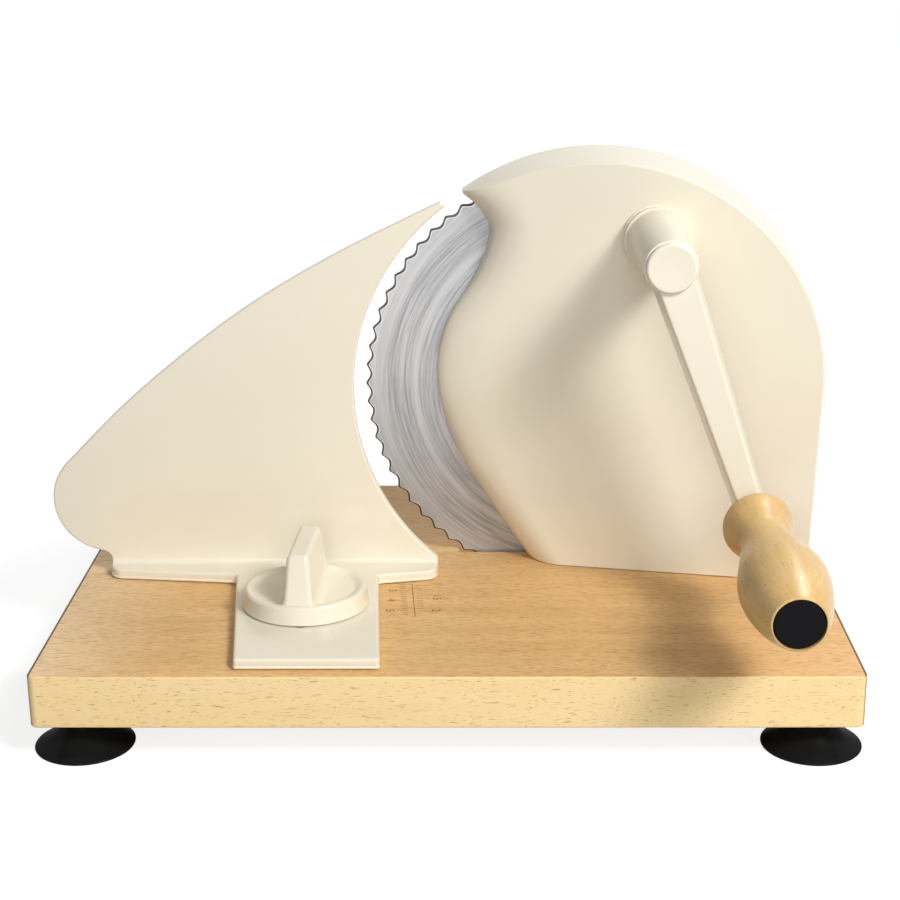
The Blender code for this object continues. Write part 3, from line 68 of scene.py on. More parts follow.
SEAT = 0.0003
RUNNING = 0.0001
OVERSHOOT = 0.001
FAR = 1.0
FINE_SIDES = 128
SMALL_SIDES = 64
QUARTER = math.pi / 2
CORNERS = ("front_left", "front_right", "rear_left", "rear_right")
SCREWS = tuple(f"housing_screw_{number}" for number in (1, 2, 3))


class Body(Enum):
    """Bodies that the pieces ride on."""

    BASE = "base"
    CUTTER = "cutter"
    CRANK = "crank"
    HANDLE = "handle"
    STOP = "stop"
    KNOB = "knob"


class Slot(Enum):
    """Material slots of the record."""

    BOARD = "beech_board"
    TURNED = "turned_beech"
    CASTING = "cream_casting"
    RUBBER = "foot_rubber"
    PLASTIC = "black_plastic"
    NYLON = "gear_nylon"
    BRASS = "bearing_brass"
    ZINC = "zinc_steel"
    BLADE = "blade_steel"


BOARD_LOW, BOARD_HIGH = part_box("board")
FRONT = BOARD_LOW.y
BLADE_AXIS = Vector(JOINTS["blade_spin"]["pos_m"])
CRANK_AXIS = Vector(JOINTS["crank_turn"]["pos_m"])
GRIP_AXIS = Vector(JOINTS["grip_spin"]["pos_m"])
KNOB_AXIS = Vector(JOINTS["knob_turn"]["pos_m"])


def setback(distance: float) -> float:
    """World Y of a plane at this distance behind the board's front edge."""
    return FRONT + distance


def lift(height: float) -> float:
    """World Z of a level at this height above the board's top face."""
    return BOARD_HIGH.z + height


def middle(node: str) -> Vector:
    """Middle of a CAD node's box."""
    low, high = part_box(node)
    return (low + high) / 2


def radius_of(node: str) -> float:
    """Radius of a round CAD node that doesn't lie along X."""
    low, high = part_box(node)
    return (high.x - low.x) / 2


def linear(red: int, green: int, blue: int) -> Triple:
    """Scene colour of a screen colour given from 0 to 255.

    Args:
        red: Red share.
        green: Green share.
        blue: Blue share.

    Returns:
        The same colour in linear light.
    """
    shares = (channel / 255 for channel in (red, green, blue))
    return tuple(((share + 0.055) / 1.055) ** 2.4 for share in shares)


class Wiring:
    """A node tree with short calls to add nodes and join them."""

    def __init__(self, tree: bpy.types.NodeTree) -> None:
        """Keep the tree that the calls work on."""
        self.tree = tree

    def feed(self, node: bpy.types.Node, sockets: dict[int | str, Source]) -> None:
        """Link or set a node's inputs.

        Args:
            node: The node.
            sockets: Links or values by input name or number.
        """
        for key, value in sockets.items():
            if isinstance(value, Socket):
                self.tree.links.new(value, node.inputs[key])
            else:
                node.inputs[key].default_value = value

    def add(self, kind: str, sockets: dict[int | str, Source] | None = None,
            **settings: object) -> bpy.types.Node:
        """Add a node.

        Args:
            kind: Node type.
            sockets: Links or values by input name or number.
            **settings: Node properties.

        Returns:
            The new node.
        """
        node = self.tree.nodes.new(kind)
        for name, value in settings.items():
            setattr(node, name, value)
        self.feed(node, sockets or {})
        return node

    def effect(self, group: bpy.types.NodeTree, sockets: dict[str, Source]) -> Sockets:
        """Outputs of a shared node group that is fed with these sockets."""
        return self.add("ShaderNodeGroup", sockets, node_tree=group).outputs

    def math(self, operation: str, *values: Source, clamp: bool = False) -> Socket:
        """Result of one arithmetic step on its values."""
        return self.add("ShaderNodeMath", dict(enumerate(values)), operation=operation,
                        use_clamp=clamp).outputs[0]

    def vector_math(self, operation: str, *values: Source) -> Socket:
        """Vector result of one arithmetic step on vectors."""
        return self.add("ShaderNodeVectorMath", dict(enumerate(values)),
                        operation=operation).outputs[0]

    def scaled(self, vector: Source, scale: Source) -> Socket:
        """Stretch a vector along its axes."""
        return self.vector_math("MULTIPLY", vector, scale)

    def length(self, vector: Source) -> Socket:
        """Length of a vector."""
        return self.add("ShaderNodeVectorMath", {0: vector}, operation="LENGTH").outputs["Value"]

    def combine(self, x: Source, y: Source, z: Source) -> Socket:
        """Vector of three values."""
        return self.add("ShaderNodeCombineXYZ", {"X": x, "Y": y, "Z": z}).outputs[0]

    def noise(self, vector: Source, scale: Source, detail: float, rough: float) -> Socket:
        """Noise value from 0 to 1 over a vector."""
        return self.add("ShaderNodeTexNoise", {"Vector": vector, "Scale": scale, "Detail": detail,
                                               "Roughness": rough}).outputs["Fac"]

    def span(self, value: Source, low: Source, high: Source, start: float = 0.0,
             end: float = 1.0) -> Socket:
        """Map a value from low and high to start and end, held at both ends.

        Args:
            value: What is mapped.
            low: Value that gives start.
            high: Value that gives end.
            start: First result.
            end: Last result.

        Returns:
            The mapped value.
        """
        return self.add("ShaderNodeMapRange", {0: value, 1: low, 2: high, 3: start, 4: end},
                        clamp=True).outputs[0]

    def spread(self, noise: Source, start: float = 0.0, end: float = 1.0) -> Socket:
        """Map the range where most of a noise lies to start and end."""
        return self.span(noise, 0.30, 0.70, start, end)

    def mix(self, share: Source, first: Source, second: Source) -> Socket:
        """Blend two colours.

        Args:
            share: Share of the second.
            first: Colour at share 0.
            second: Colour at share 1.

        Returns:
            The blended colour.
        """
        colours = [(*c, 1.0) if isinstance(c, tuple) else c for c in (first, second)]
        return self.add("ShaderNodeMix", {0: share, 6: colours[0], 7: colours[1]},
                        data_type="RGBA").outputs[2]

    def placed(self, centre: Triple = (0.0, 0.0, 0.0), turn: Triple = (0.0, 0.0, 0.0)) -> Socket:
        """Object coordinates measured from a centre and turned.

        Args:
            centre: Where the pattern's middle lies.
            turn: Rotation of the pattern.

        Returns:
            Vector socket.
        """
        coordinates = self.add("ShaderNodeTexCoord").outputs["Object"]
        return self.add("ShaderNodeMapping", {"Vector": coordinates, "Location": centre,
                                              "Rotation": turn}, vector_type="TEXTURE").outputs[0]

    def bump(self, height: Source, strength: float, depth: float) -> Socket:
        """Normal of a small relief."""
        return self.add("ShaderNodeBump", {"Height": height, "Strength": strength,
                                           "Distance": depth}).outputs[0]

    def seen(self) -> Socket:
        """Tell looks from light.

        Returns:
            One where a surface is looked at, also in a gloss or through glass, and else zero.
        """
        path = self.add("ShaderNodeLightPath").outputs
        looked = self.math("MAXIMUM", path["Is Camera Ray"], path["Is Glossy Ray"])
        return self.math("MAXIMUM", looked, path["Is Transmission Ray"])


class Effects:
    """Shader node groups that several finishes share, each built once."""

    def __init__(self) -> None:
        """Build every group."""
        self.figure = self.group("Wood figure", self.wood_figure,
                                 ("Across", "Stretch", "Wander", "Fleck Share"))
        self.marks = self.group("Tool marks", self.tool_marks, ("Lines", "Sweep"))
        self.skin = self.group("Surface skin", self.surface_skin, ("Peel Scale", "Tone Scale"))

    @staticmethod
    def group(name: str, wire: Callable[[Wiring, Sockets], dict[str, Socket]],
              inputs: Iterable[str]) -> bpy.types.NodeTree:
        """Build a group.

        Args:
            name: Group name.
            wire: Joins its nodes from its inputs and returns its outputs by name.
            inputs: Names of its number inputs, which follow its vector.

        Returns:
            The group's tree.
        """
        tree = bpy.data.node_groups.new(name, "ShaderNodeTree")
        tree.interface.new_socket("Vector", in_out="INPUT", socket_type="NodeSocketVector")
        for label in inputs:
            tree.interface.new_socket(label, in_out="INPUT", socket_type="NodeSocketFloat")
        wires = Wiring(tree)
        values = wire(wires, wires.add("NodeGroupInput").outputs)
        for label in values:
            tree.interface.new_socket(label, in_out="OUTPUT", socket_type="NodeSocketFloat")
        wires.add("NodeGroupOutput", values)
        return tree

    @staticmethod
    def wood_figure(wires: Wiring, given: Sockets) -> dict[str, Socket]:
        """Grain along X: broad tone, fine fibre and short dark flecks.

        Args:
            wires: Wiring of the group.
            given: The group's inputs.

        Returns:
            Its outputs by name.
        """
        slow = wires.add("ShaderNodeTexNoise", {"Vector": given["Vector"], "Scale": 22.0,
                                                "Detail": 2.0}).outputs["Color"]
        drift = wires.vector_math("SUBTRACT", slow, (0.5, 0.5, 0.5))
        reach = wires.combine(0.0, given["Wander"], given["Wander"])
        bent = wires.vector_math("ADD", given["Vector"], wires.scaled(drift, reach))
        along = wires.math("DIVIDE", given["Across"], given["Stretch"])
        fine = wires.scaled(bent, wires.combine(along, given["Across"], given["Across"]))
        pores = wires.noise(fine, 1.0, detail=1.0, rough=0.4)
        limit = wires.span(given["Fleck Share"], 0.0, 1.0, 0.80, 0.52)
        rings = wires.noise(wires.scaled(bent, (6.0, 75.0, 75.0)), 1.0, detail=3.0, rough=0.5)
        cloud = wires.noise(wires.scaled(bent, (20.0, 210.0, 210.0)), 1.0, detail=3.0, rough=0.55)
        return {"Tone": wires.math("ADD", wires.math("MULTIPLY", rings, 0.45),
                                   wires.math("MULTIPLY", cloud, 0.55)),
                "Fibre": wires.noise(fine, 0.6, detail=3.0, rough=0.6),
                "Flecks": wires.span(pores, limit, wires.math("ADD", limit, 0.07))}

    @staticmethod
    def tool_marks(wires: Wiring, given: Sockets) -> dict[str, Socket]:
        """Marks of turning or grinding round the Y axis.

        Args:
            wires: Wiring of the group.
            given: The group's inputs.

        Returns:
            Its outputs by name.
        """
        parts = wires.add("ShaderNodeSeparateXYZ", {0: given["Vector"]}).outputs
        flat = wires.combine(parts[0], 0.0, parts[2])
        radius = wires.length(flat)
        way = wires.vector_math("NORMALIZE", flat)
        sweep = wires.scaled(way, wires.combine(given["Sweep"], 0.0, given["Sweep"]))
        across = wires.combine(0.0, wires.math("MULTIPLY", radius, given["Lines"]), 0.0)
        slow = wires.vector_math("ADD", way, wires.scaled(across, (0.0, 0.05, 0.0)))
        return {"Marks": wires.noise(wires.vector_math("ADD", sweep, across), 1.0, detail=3.0,
                                     rough=0.7),
                "Bands": wires.noise(slow, 1.0, detail=2.0, rough=0.5), "Radius": radius}

    @staticmethod
    def surface_skin(wires: Wiring, given: Sockets) -> dict[str, Socket]:
        """Skin of paint, rubber or moulding: slow tone, fine peel and smudges from handling.

        Args:
            wires: Wiring of the group.
            given: The group's inputs.

        Returns:
            Its outputs by name.
        """
        vector, slow = given["Vector"], given["Tone Scale"]
        return {"Tone": wires.noise(vector, slow, detail=3.0, rough=0.5),
                "Peel": wires.noise(vector, given["Peel Scale"], detail=2.0, rough=0.5),
                "Smudge": wires.noise(vector, wires.math("MULTIPLY", slow, 3.0), detail=5.0,
                                      rough=0.65)}


EFFECTS = Effects()


@dataclass(frozen=True)
class Finish:
    """What every finish has: its name and its slot in the record."""

    name: str
    slot: Slot

    def material(self) -> bpy.types.Material:
        """Make the material at its first use.

        Returns:
            The material of this finish.
        """
        known = bpy.data.materials.get(self.name)
        if known:
            return known
        made = bpy.data.materials.new(self.name)
        made.use_nodes = True
        made.node_tree.nodes.clear()
        wires = Wiring(made.node_tree)
        shader = wires.add("ShaderNodeBsdfPrincipled", self.sockets(wires))
        wires.add("ShaderNodeOutputMaterial", {0: shader.outputs[0]})
        return made

    def sockets(self, wires: Wiring) -> dict[str, Source]:
        """Links and values of the shader's sockets, by name."""
        raise NotImplementedError


@dataclass(frozen=True)
class Skinned(Finish):
    """Paint, rubber, plastic or ink: two near tones, smudged gloss and a fine skin."""

    tone: Triple
    second_tone: Triple
    shine: float = 0.35
    smudging: float = 0.1
    relief: float = 0.05
    relief_depth: float = 0.0001
    peel_scale: float = 1500.0
    tone_scale: float = 40.0
    reflectance: float = 0.5
    coat: float = 0.0
    coat_shine: float = 0.2

    def sockets(self, wires: Wiring) -> dict[str, Source]:
        """Tone drifts slowly, and the peel breaks up the gloss.

        Args:
            wires: Wiring of the material.

        Returns:
            Links and values of the shader's sockets, by name.
        """
        skin = wires.effect(EFFECTS.skin, {"Vector": wires.placed(), "Peel Scale": self.peel_scale,
                                           "Tone Scale": self.tone_scale})
        return {"Base Color": wires.mix(skin["Tone"], self.tone, self.second_tone),
                "Roughness": wires.spread(skin["Smudge"], self.shine, self.shine + self.smudging),
                "Normal": wires.bump(skin["Peel"], self.relief, self.relief_depth),
                "Specular IOR Level": self.reflectance,
                "Coat Weight": self.coat, "Coat Roughness": self.coat_shine}


@dataclass(frozen=True)
class Beech(Finish):
    """Oiled beech: grain along X, in two tones with flecks and fine fibre, and painted light that
    can pale its top towards the left end.
    """

    light: Triple = linear(243, 203, 143)
    dark: Triple = linear(211, 162, 100)
    fleck: Triple = linear(158, 106, 58)
    # Painted light: the paler tone painted towards the board's left end.
    painted_light: Triple = linear(255, 231, 190)
    across: float = 3100.0
    stretch: float = 14.0
    wander: float = 0.006
    fleck_share: float = 0.80
    fleck_weight: float = 0.55
    tone_share: Point = (0.10, 0.80)
    fibre_weight: float = 0.30
    centre: Triple = (0.41, 0.13, 0.27)
    turn: Triple = (0.0, 0.0, 0.0)
    shine: float = 0.44
    dulling: float = 0.14
    relief: float = 0.22
    relief_depth: float = 0.00008
    reflectance: float = 0.4
    # Painted light: how strongly the left end is painted paler, and over which span of X.
    painted_light_share: float = 0.0
    painted_light_from: float = -0.10
    painted_light_to: float = -0.145
    coat: float = 0.0
    coat_shine: float = 0.22

    def sockets(self, wires: Wiring) -> dict[str, Source]:
        """Tones under fibre under flecks, and the flecks are a little sunk.

        Args:
            wires: Wiring of the material.

        Returns:
            Links and values of the shader's sockets, by name.
        """
        figure = wires.effect(EFFECTS.figure, {
            "Vector": wires.placed(self.centre, self.turn), "Across": self.across,
            "Stretch": self.stretch, "Wander": self.wander, "Fleck Share": self.fleck_share})
        # Painted light: a paler tone is blended in towards the left end, to brighten the board
        # where the fin shades it.
        x = wires.add("ShaderNodeSeparateXYZ", {0: wires.placed()}).outputs[0]
        painted_light = wires.span(x, self.painted_light_from, self.painted_light_to, 0.0, self.painted_light_share)
        depth = wires.spread(figure["Tone"], *self.tone_share)
        tone = wires.mix(painted_light, wires.mix(depth, self.light, self.dark), self.painted_light)
        fibre = wires.spread(figure["Fibre"], 0.0, self.fibre_weight)
        grained = wires.mix(fibre, tone, self.dark)
        share = wires.math("MULTIPLY", figure["Flecks"], self.fleck_weight)
        height = wires.math("SUBTRACT", figure["Fibre"], figure["Flecks"])
        return {"Base Color": wires.mix(share, grained, self.fleck),
                "Roughness": wires.spread(figure["Fibre"], self.shine, self.shine + self.dulling),
                "Normal": wires.bump(height, self.relief, self.relief_depth),
                "Specular IOR Level": self.reflectance,
                "Coat Weight": self.coat, "Coat Roughness": self.coat_shine}


@dataclass(frozen=True)
class Metal(Finish):
    """Bare metal with the marks of its turning or grinding round an axis along Y."""

    colour: Triple = (0.52, 0.52, 0.53)
    darker: Triple = (0.38, 0.38, 0.39)
    centre: Triple = (0.0, 0.0, 0.0)
    lines: float = 4000.0
    sweep: float = 3.0
    shine: float = 0.28
    metallic: float = 1.0
    relief: float = 0.12
    relief_depth: float = 0.00005

    def sockets(self, wires: Wiring) -> dict[str, Source]:
        """Marks tint the metal, spread its gloss and lie in relief.

        Args:
            wires: Wiring of the material.

        Returns:
            Links and values of the shader's sockets, by name.
        """
        marks = wires.effect(EFFECTS.marks, {"Vector": wires.placed(self.centre),
                                             "Lines": self.lines, "Sweep": self.sweep})
        return {"Base Color": self.tint(wires, marks), "Metallic": self.metallic,
                "Roughness": wires.spread(marks["Marks"], self.shine + 0.10, self.shine),
                "Normal": wires.bump(marks["Marks"], self.relief, self.relief_depth)}

    def tint(self, wires: Wiring, marks: Sockets) -> Socket:
        """Colour of the metal under its marks."""
        return wires.mix(wires.spread(marks["Marks"]), self.darker, self.colour)


@dataclass(frozen=True)
class BrushedBlade(Metal):
    """Blade steel: fine brushed arcs over a painted highlight ring and a pale outer band."""

    metallic: float = 0.6
    relief_depth: float = 0.00004
    # Tone of the ground outer band, and of the ring painted as a highlight.
    pale: Triple = linear(192, 192, 193)
    highlight_ring_radius: float = 0.0655
    highlight_ring_reach: Point = (0.0004, 0.0022)
    band_edge: Point = (0.0753, 0.0785)

    def sockets(self, wires: Wiring) -> dict[str, Source]:
        """Brushed metal whose gloss is drawn out round the axis."""
        tangent = wires.add("ShaderNodeTangent", direction_type="RADIAL", axis="Y")
        return super().sockets(wires) | {"Anisotropic": 0.4, "Tangent": tangent.outputs[0]}

    def tint(self, wires: Wiring, marks: Sockets) -> Socket:
        """Base band by radius and a painted highlight ring, then brushed arcs over them.

        Args:
            wires: Wiring of the material.
            marks: Outputs of the tool marks.

        Returns:
            The blade's colour.
        """
        outer = wires.span(marks["Radius"], *self.band_edge, 0.0, 0.55)
        # Painted highlight: a narrow pale ring stands for the glint on the blade's grinding ridge.
        near = wires.math("ABSOLUTE", wires.math("SUBTRACT", marks["Radius"], self.highlight_ring_radius))
        ring = wires.span(near, *self.highlight_ring_reach, 0.75, 0.0)
        line = wires.span(marks["Marks"], 0.36, 0.64)
        metal = wires.mix(line, self.darker, self.colour)
        bands_and_highlight = wires.mix(wires.math("ADD", outer, ring, clamp=True), metal, self.pale)
        return wires.mix(wires.span(marks["Bands"], 0.35, 0.65, 0.0, 0.25), bands_and_highlight, self.darker)


ENAMEL = Skinned("cream_enamel", Slot.CASTING, linear(237, 230, 211), linear(234, 226, 205),
                 shine=0.30, smudging=0.03, relief_depth=0.0002, peel_scale=750.0, tone_scale=14.0,
                 reflectance=0.25, coat=0.5, coat_shine=0.07)
# Painted light: the top is painted paler towards its left end.
BEECH_TOP = Beech("beech_top", Slot.BOARD, painted_light_share=0.70)
BEECH_EDGE = Beech("beech_edge", Slot.BOARD, light=linear(254, 228, 173),
                   dark=linear(246, 211, 150), fleck=linear(122, 82, 42), across=4600.0,
                   stretch=20.0, fleck_share=0.50, fleck_weight=0.85, relief=0.20)
BEECH_END = Beech("beech_end", Slot.BOARD, light=linear(206, 164, 110), dark=linear(178, 132, 82),
                  fleck=linear(110, 76, 42), across=1600.0, stretch=2.0, wander=0.004,
                  fleck_share=0.6, turn=(0.0, 0.0, QUARTER), shine=0.55)
TURNED_WOOD = Beech("turned_wood", Slot.TURNED, light=linear(232, 199, 134),
                    dark=linear(197, 151, 84), fleck=linear(128, 84, 40), across=1700.0,
                    stretch=9.0, fleck_share=0.40, fleck_weight=0.5, turn=(0.0, 0.0, QUARTER),
                    shine=0.38, relief=0.10, reflectance=0.30, coat=0.5)
RUBBER = Skinned("cup_rubber", Slot.RUBBER, linear(22, 22, 22), linear(28, 28, 28), shine=0.34,
                 reflectance=0.0, coat=0.10)
BLACK_CAP = Skinned("cap_plastic", Slot.PLASTIC, linear(17, 17, 20), linear(22, 22, 25), shine=0.6,
                    relief=0.2, peel_scale=2500.0, reflectance=0.06)
NYLON = Skinned("moulded_nylon", Slot.NYLON, (0.72, 0.71, 0.67), (0.78, 0.77, 0.73), shine=0.45)
INK = Skinned("scale_ink", Slot.BOARD, linear(108, 80, 44), linear(132, 100, 58), shine=0.6)
# Painted shade: the dark line along the board's left and right end edges.
PAINTED_EDGE_SHADE = Skinned("painted_edge_shade", Slot.BOARD, linear(92, 68, 50), linear(118, 90, 66), shine=0.6)
ZINC = Metal("zinc_plate", Slot.ZINC)
ZINC_TURNED = Metal("turned_zinc", Slot.ZINC, centre=tuple(BLADE_AXIS), lines=2600.0, sweep=1.5)
BRASS = Metal("machined_brass", Slot.BRASS, colour=(0.72, 0.55, 0.25), darker=(0.56, 0.40, 0.16))
BLADE_STEEL = BrushedBlade("brushed_blade", Slot.BLADE, colour=linear(184, 184, 185),
                           darker=linear(140, 140, 142), centre=tuple(BLADE_AXIS), lines=1100.0,
                           sweep=2.6, shine=0.34, relief=0.10)
# Painted shade: the blade's edge face and ground bevel are painted darker than the blade.
SHADED_BLADE_EDGE = Metal("painted_shade_blade_edge", Slot.BLADE, colour=linear(120, 118, 118),
                    darker=linear(84, 80, 80), centre=tuple(BLADE_AXIS), shine=0.35)
# Painted highlight: a thin band inside the bevel is painted bright as a glint.
PAINTED_EDGE_GLINT = Metal("painted_edge_glint", Slot.BLADE, colour=linear(228, 228, 228),
             darker=linear(206, 206, 206), centre=tuple(BLADE_AXIS), shine=0.25)


def arc(centre: Point, radius: float, start: float, end: float, steps: int) -> list[Point]:
    """Points along a circular arc, both ends included."""
    angles = [start + (end - start) * step / steps for step in range(steps + 1)]
    return [(centre[0] + radius * math.cos(a), centre[1] + radius * math.sin(a)) for a in angles]


def smooth_curve(points: Sequence[Point], steps: int) -> list[Point]:
    """Curve through points.

    Args:
        points: What the curve passes through.
        steps: Steps in each span.

    Returns:
        Points on the curve, both ends included.
    """
    padded = [points[0], *points, points[-1]]
    curve = []
    for near in zip(padded, padded[1:], padded[2:], padded[3:]):
        for step in range(steps):
            t = step / steps
            curve.append(tuple(
                0.5 * (2 * b + (c - a) * t + (2 * a - 5 * b + 4 * c - d) * t * t
                       + (3 * b - a - 3 * c + d) * t ** 3) for a, b, c, d in zip(*near)))
    curve.append(tuple(points[-1]))
    return curve


def evenly(points: Sequence[Point], count: int) -> list[Point]:
    """Space a path's points evenly.

    Args:
        points: The path.
        count: How many points it gets.

    Returns:
        The same path at even spacing, without its last point.
    """
    lengths = [0.0]
    for start, end in zip(points, points[1:]):
        lengths.append(lengths[-1] + math.dist(start, end))
    spaced = []
    span = 0
    for index in range(count):
        target = lengths[-1] * index / count
        while lengths[span + 1] < target:
            span += 1
        share = (target - lengths[span]) / (lengths[span + 1] - lengths[span])
        spaced.append(tuple(a + (b - a) * share for a, b in zip(points[span], points[span + 1])))
    return spaced


def inset(outline: Sequence[Point], distance: float) -> list[Point]:
    """Closed outline moved along its normals.

    Args:
        outline: Points in order.
        distance: Inwards if the outline runs clockwise, and outwards if not.

    Returns:
        The moved outline.
    """
    moved = []
    for index, point in enumerate(outline):
        ahead = outline[(index + 1) % len(outline)]
        behind = outline[index - 1]
        run = (ahead[0] - behind[0], ahead[1] - behind[1])
        size = math.hypot(*run)
        moved.append((point[0] + distance * run[1] / size, point[1] - distance * run[0] / size))
    return moved


def round_corners(half_x: float, half_y: float, radius: float, steps: int) -> list[Point]:
    """Rectangle about the origin with round corners.

    Args:
        half_x: Half its width.
        half_y: Half its length.
        radius: Radius of the corners.
        steps: Steps in each corner.

    Returns:
        Its outline.
    """
    ring = []
    for turn, (sign_x, sign_y) in enumerate(((1, 1), (-1, 1), (-1, -1), (1, -1))):
        centre = (sign_x * (half_x - radius), sign_y * (half_y - radius))
        ring += arc(centre, radius, QUARTER * turn, QUARTER * (turn + 1), steps)
    return ring


def revolve(profile: Sequence[Point], sides: int, closed: bool = False) -> Mesh:
    """Spin a profile about the Y axis.

    Args:
        profile: (radius, y) points.
        sides: Steps of the full turn.
        closed: Join the last point to the first.

    Returns:
        The turned mesh.
    """
    bm = bmesh.new()
    verts = [bm.verts.new((radius, y, 0)) for radius, y in profile]
    edges = [bm.edges.new(pair) for pair in zip(verts, verts[1:])]
    if closed:
        edges.append(bm.edges.new((verts[-1], verts[0])))
    bmesh.ops.spin(bm, geom=verts + edges, cent=(0, 0, 0), axis=(0, 1, 0), dvec=(0, 0, 0),
                   angle=math.tau, steps=sides, use_merge=True, use_duplicate=False)
    bmesh.ops.remove_doubles(bm, verts=bm.verts, dist=1e-6)
    bmesh.ops.recalc_face_normals(bm, faces=bm.faces)
    return bm


def rod(radius: float, start: float, end: float, sides: int = SMALL_SIDES) -> Mesh:
    """Round bar along Y."""
    return revolve([(0, start), (radius, start), (radius, end), (0, end)], sides)


def rotated(bm: Mesh, angle: float, axis: str) -> Mesh:
    """Turn a piece about an axis through the origin."""
    bmesh.ops.rotate(bm, verts=bm.verts, cent=(0, 0, 0), matrix=Matrix.Rotation(angle, 3, axis))
    return bm


def upright(bm: Mesh) -> Mesh:
    """Turn a piece made along Y so that it stands along Z."""
    return rotated(bm, QUARTER, "X")


def shifted(bm: Mesh, x: float = 0.0, y: float = 0.0, z: float = 0.0) -> Mesh:
    """Move a piece."""
    bmesh.ops.translate(bm, verts=bm.verts, vec=(x, y, z))
    return bm


def on_axis(bm: Mesh, axis: Vector) -> Mesh:
    """Move a piece made round Y to an axis along Y."""
    return shifted(bm, x=axis.x, z=axis.z)


def stood(bm: Mesh, place: Vector) -> Mesh:
    """Stand a piece made along Y upright over a place."""
    return shifted(upright(bm), x=place.x, y=place.y)


def slab(outline: Sequence[Point], normal: str, low: float, high: float) -> Mesh:
    """Extrude a flat outline.

    Args:
        outline: (x, z) points for a slab along Y, (x, y) points for one along Z.
        normal: "Y" or "Z".
        low: Where it starts.
        high: Where it ends.

    Returns:
        The extruded mesh.
    """
    bm = bmesh.new()
    corners = [(a, low, b) if normal == "Y" else (a, b, low) for a, b in outline]
    base = bm.faces.new([bm.verts.new(corner) for corner in corners])
    grown = bmesh.ops.extrude_face_region(bm, geom=[base], use_keep_orig=True)
    top = [item for item in grown["geom"] if isinstance(item, bmesh.types.BMVert)]
    step = (0, high - low, 0) if normal == "Y" else (0, 0, high - low)
    bmesh.ops.translate(bm, verts=top, vec=step)
    bmesh.ops.recalc_face_normals(bm, faces=bm.faces)
    return bm


def bevelled(bm: Mesh, edges: Sequence[bmesh.types.BMEdge], width: float, segments: int) -> Mesh:
    """Round some edges.

    Args:
        bm: The piece.
        edges: Which of its edges.
        width: How far the rounding reaches.
        segments: Steps of the rounding.

    Returns:
        The same piece.
    """
    bmesh.ops.bevel(bm, geom=edges, offset=width, segments=segments, profile=0.5, affect="EDGES",
                    clamp_overlap=True, material=-1)
    return bm


def soften(bm: Mesh, width: float, segments: int = 4, least_angle: float = 50.0) -> Mesh:
    """Round every sharp edge.

    Args:
        bm: The piece.
        width: How far the rounding reaches.
        segments: Steps of the rounding.
        least_angle: Degrees from which an edge counts as sharp.

    Returns:
        The same piece.
    """
    least = math.radians(least_angle)
    sharp = [edge for edge in bm.edges if edge.calc_face_angle(0) > least]
    return bevelled(bm, sharp, width, segments)


def hoop(bm: Mesh, points: Iterable[Triple]) -> list[bmesh.types.BMEdge]:
    """Closed loop of edges through points."""
    verts = [bm.verts.new(point) for point in points]
    return [bm.edges.new((a, b)) for a, b in zip(verts, verts[1:] + verts[:1])]


def skin(rings: Iterable[Sequence[Triple]]) -> Mesh:
    """Bridge rings in order and cap both ends flat.

    Args:
        rings: Rings with equal counts of points.

    Returns:
        The closed skin.
    """
    bm = bmesh.new()
    loops = [hoop(bm, ring) for ring in rings]
    for low, high in zip(loops, loops[1:]):
        bmesh.ops.bridge_loops(bm, edges=low + high)
    for loop in (loops[0], loops[-1]):
        bmesh.ops.contextual_create(bm, geom=loop)
    bmesh.ops.recalc_face_normals(bm, faces=bm.faces)
    return bm


def stand_in(bm: Mesh, materials: Sequence[bpy.types.Material] = ()) -> bpy.types.Object:
    """Make an object.

    Args:
        bm: Its mesh, which is used up.
        materials: Its materials in order.

    Returns:
        The new object, in the scene.
    """
    mesh = bpy.data.meshes.new("working")
    bm.to_mesh(mesh)
    bm.free()
    for material in materials:
        mesh.materials.append(material)
    item = bpy.data.objects.new("working", mesh)
    bpy.context.scene.collection.objects.link(item)
    return item


def boolean(base: Mesh, tools: Iterable[Mesh], operation: str) -> Mesh:
    """Join solids to one or take them from it, exactly and one after another.

    Args:
        base: The piece, which is used up.
        tools: The other solids, which are used up.
        operation: UNION or DIFFERENCE.

    Returns:
        The result.
    """
    for tool in tools:
        body, cutter = stand_in(base), stand_in(tool)
        modifier = body.modifiers.new("Boolean", "BOOLEAN")
        modifier.operation = operation
        modifier.solver = "EXACT"
        modifier.object = cutter
        base = bmesh.new()
        base.from_object(body, bpy.context.evaluated_depsgraph_get())
        for item in (body, cutter):
            mesh = item.data
            bpy.data.objects.remove(item, do_unlink=True)
            bpy.data.meshes.remove(mesh)
        bmesh.ops.remove_doubles(base, verts=base.verts, dist=2e-6)
        bmesh.ops.dissolve_degenerate(base, edges=base.edges, dist=2e-6)
    return base


def fused(base: Mesh, *tools: Mesh) -> Mesh:
    """Join solids into one body."""
    return boolean(base, tools, "UNION")


def cut(base: Mesh, *tools: Mesh) -> Mesh:
    """Take solids away from a body."""
    return boolean(base, tools, "DIFFERENCE")


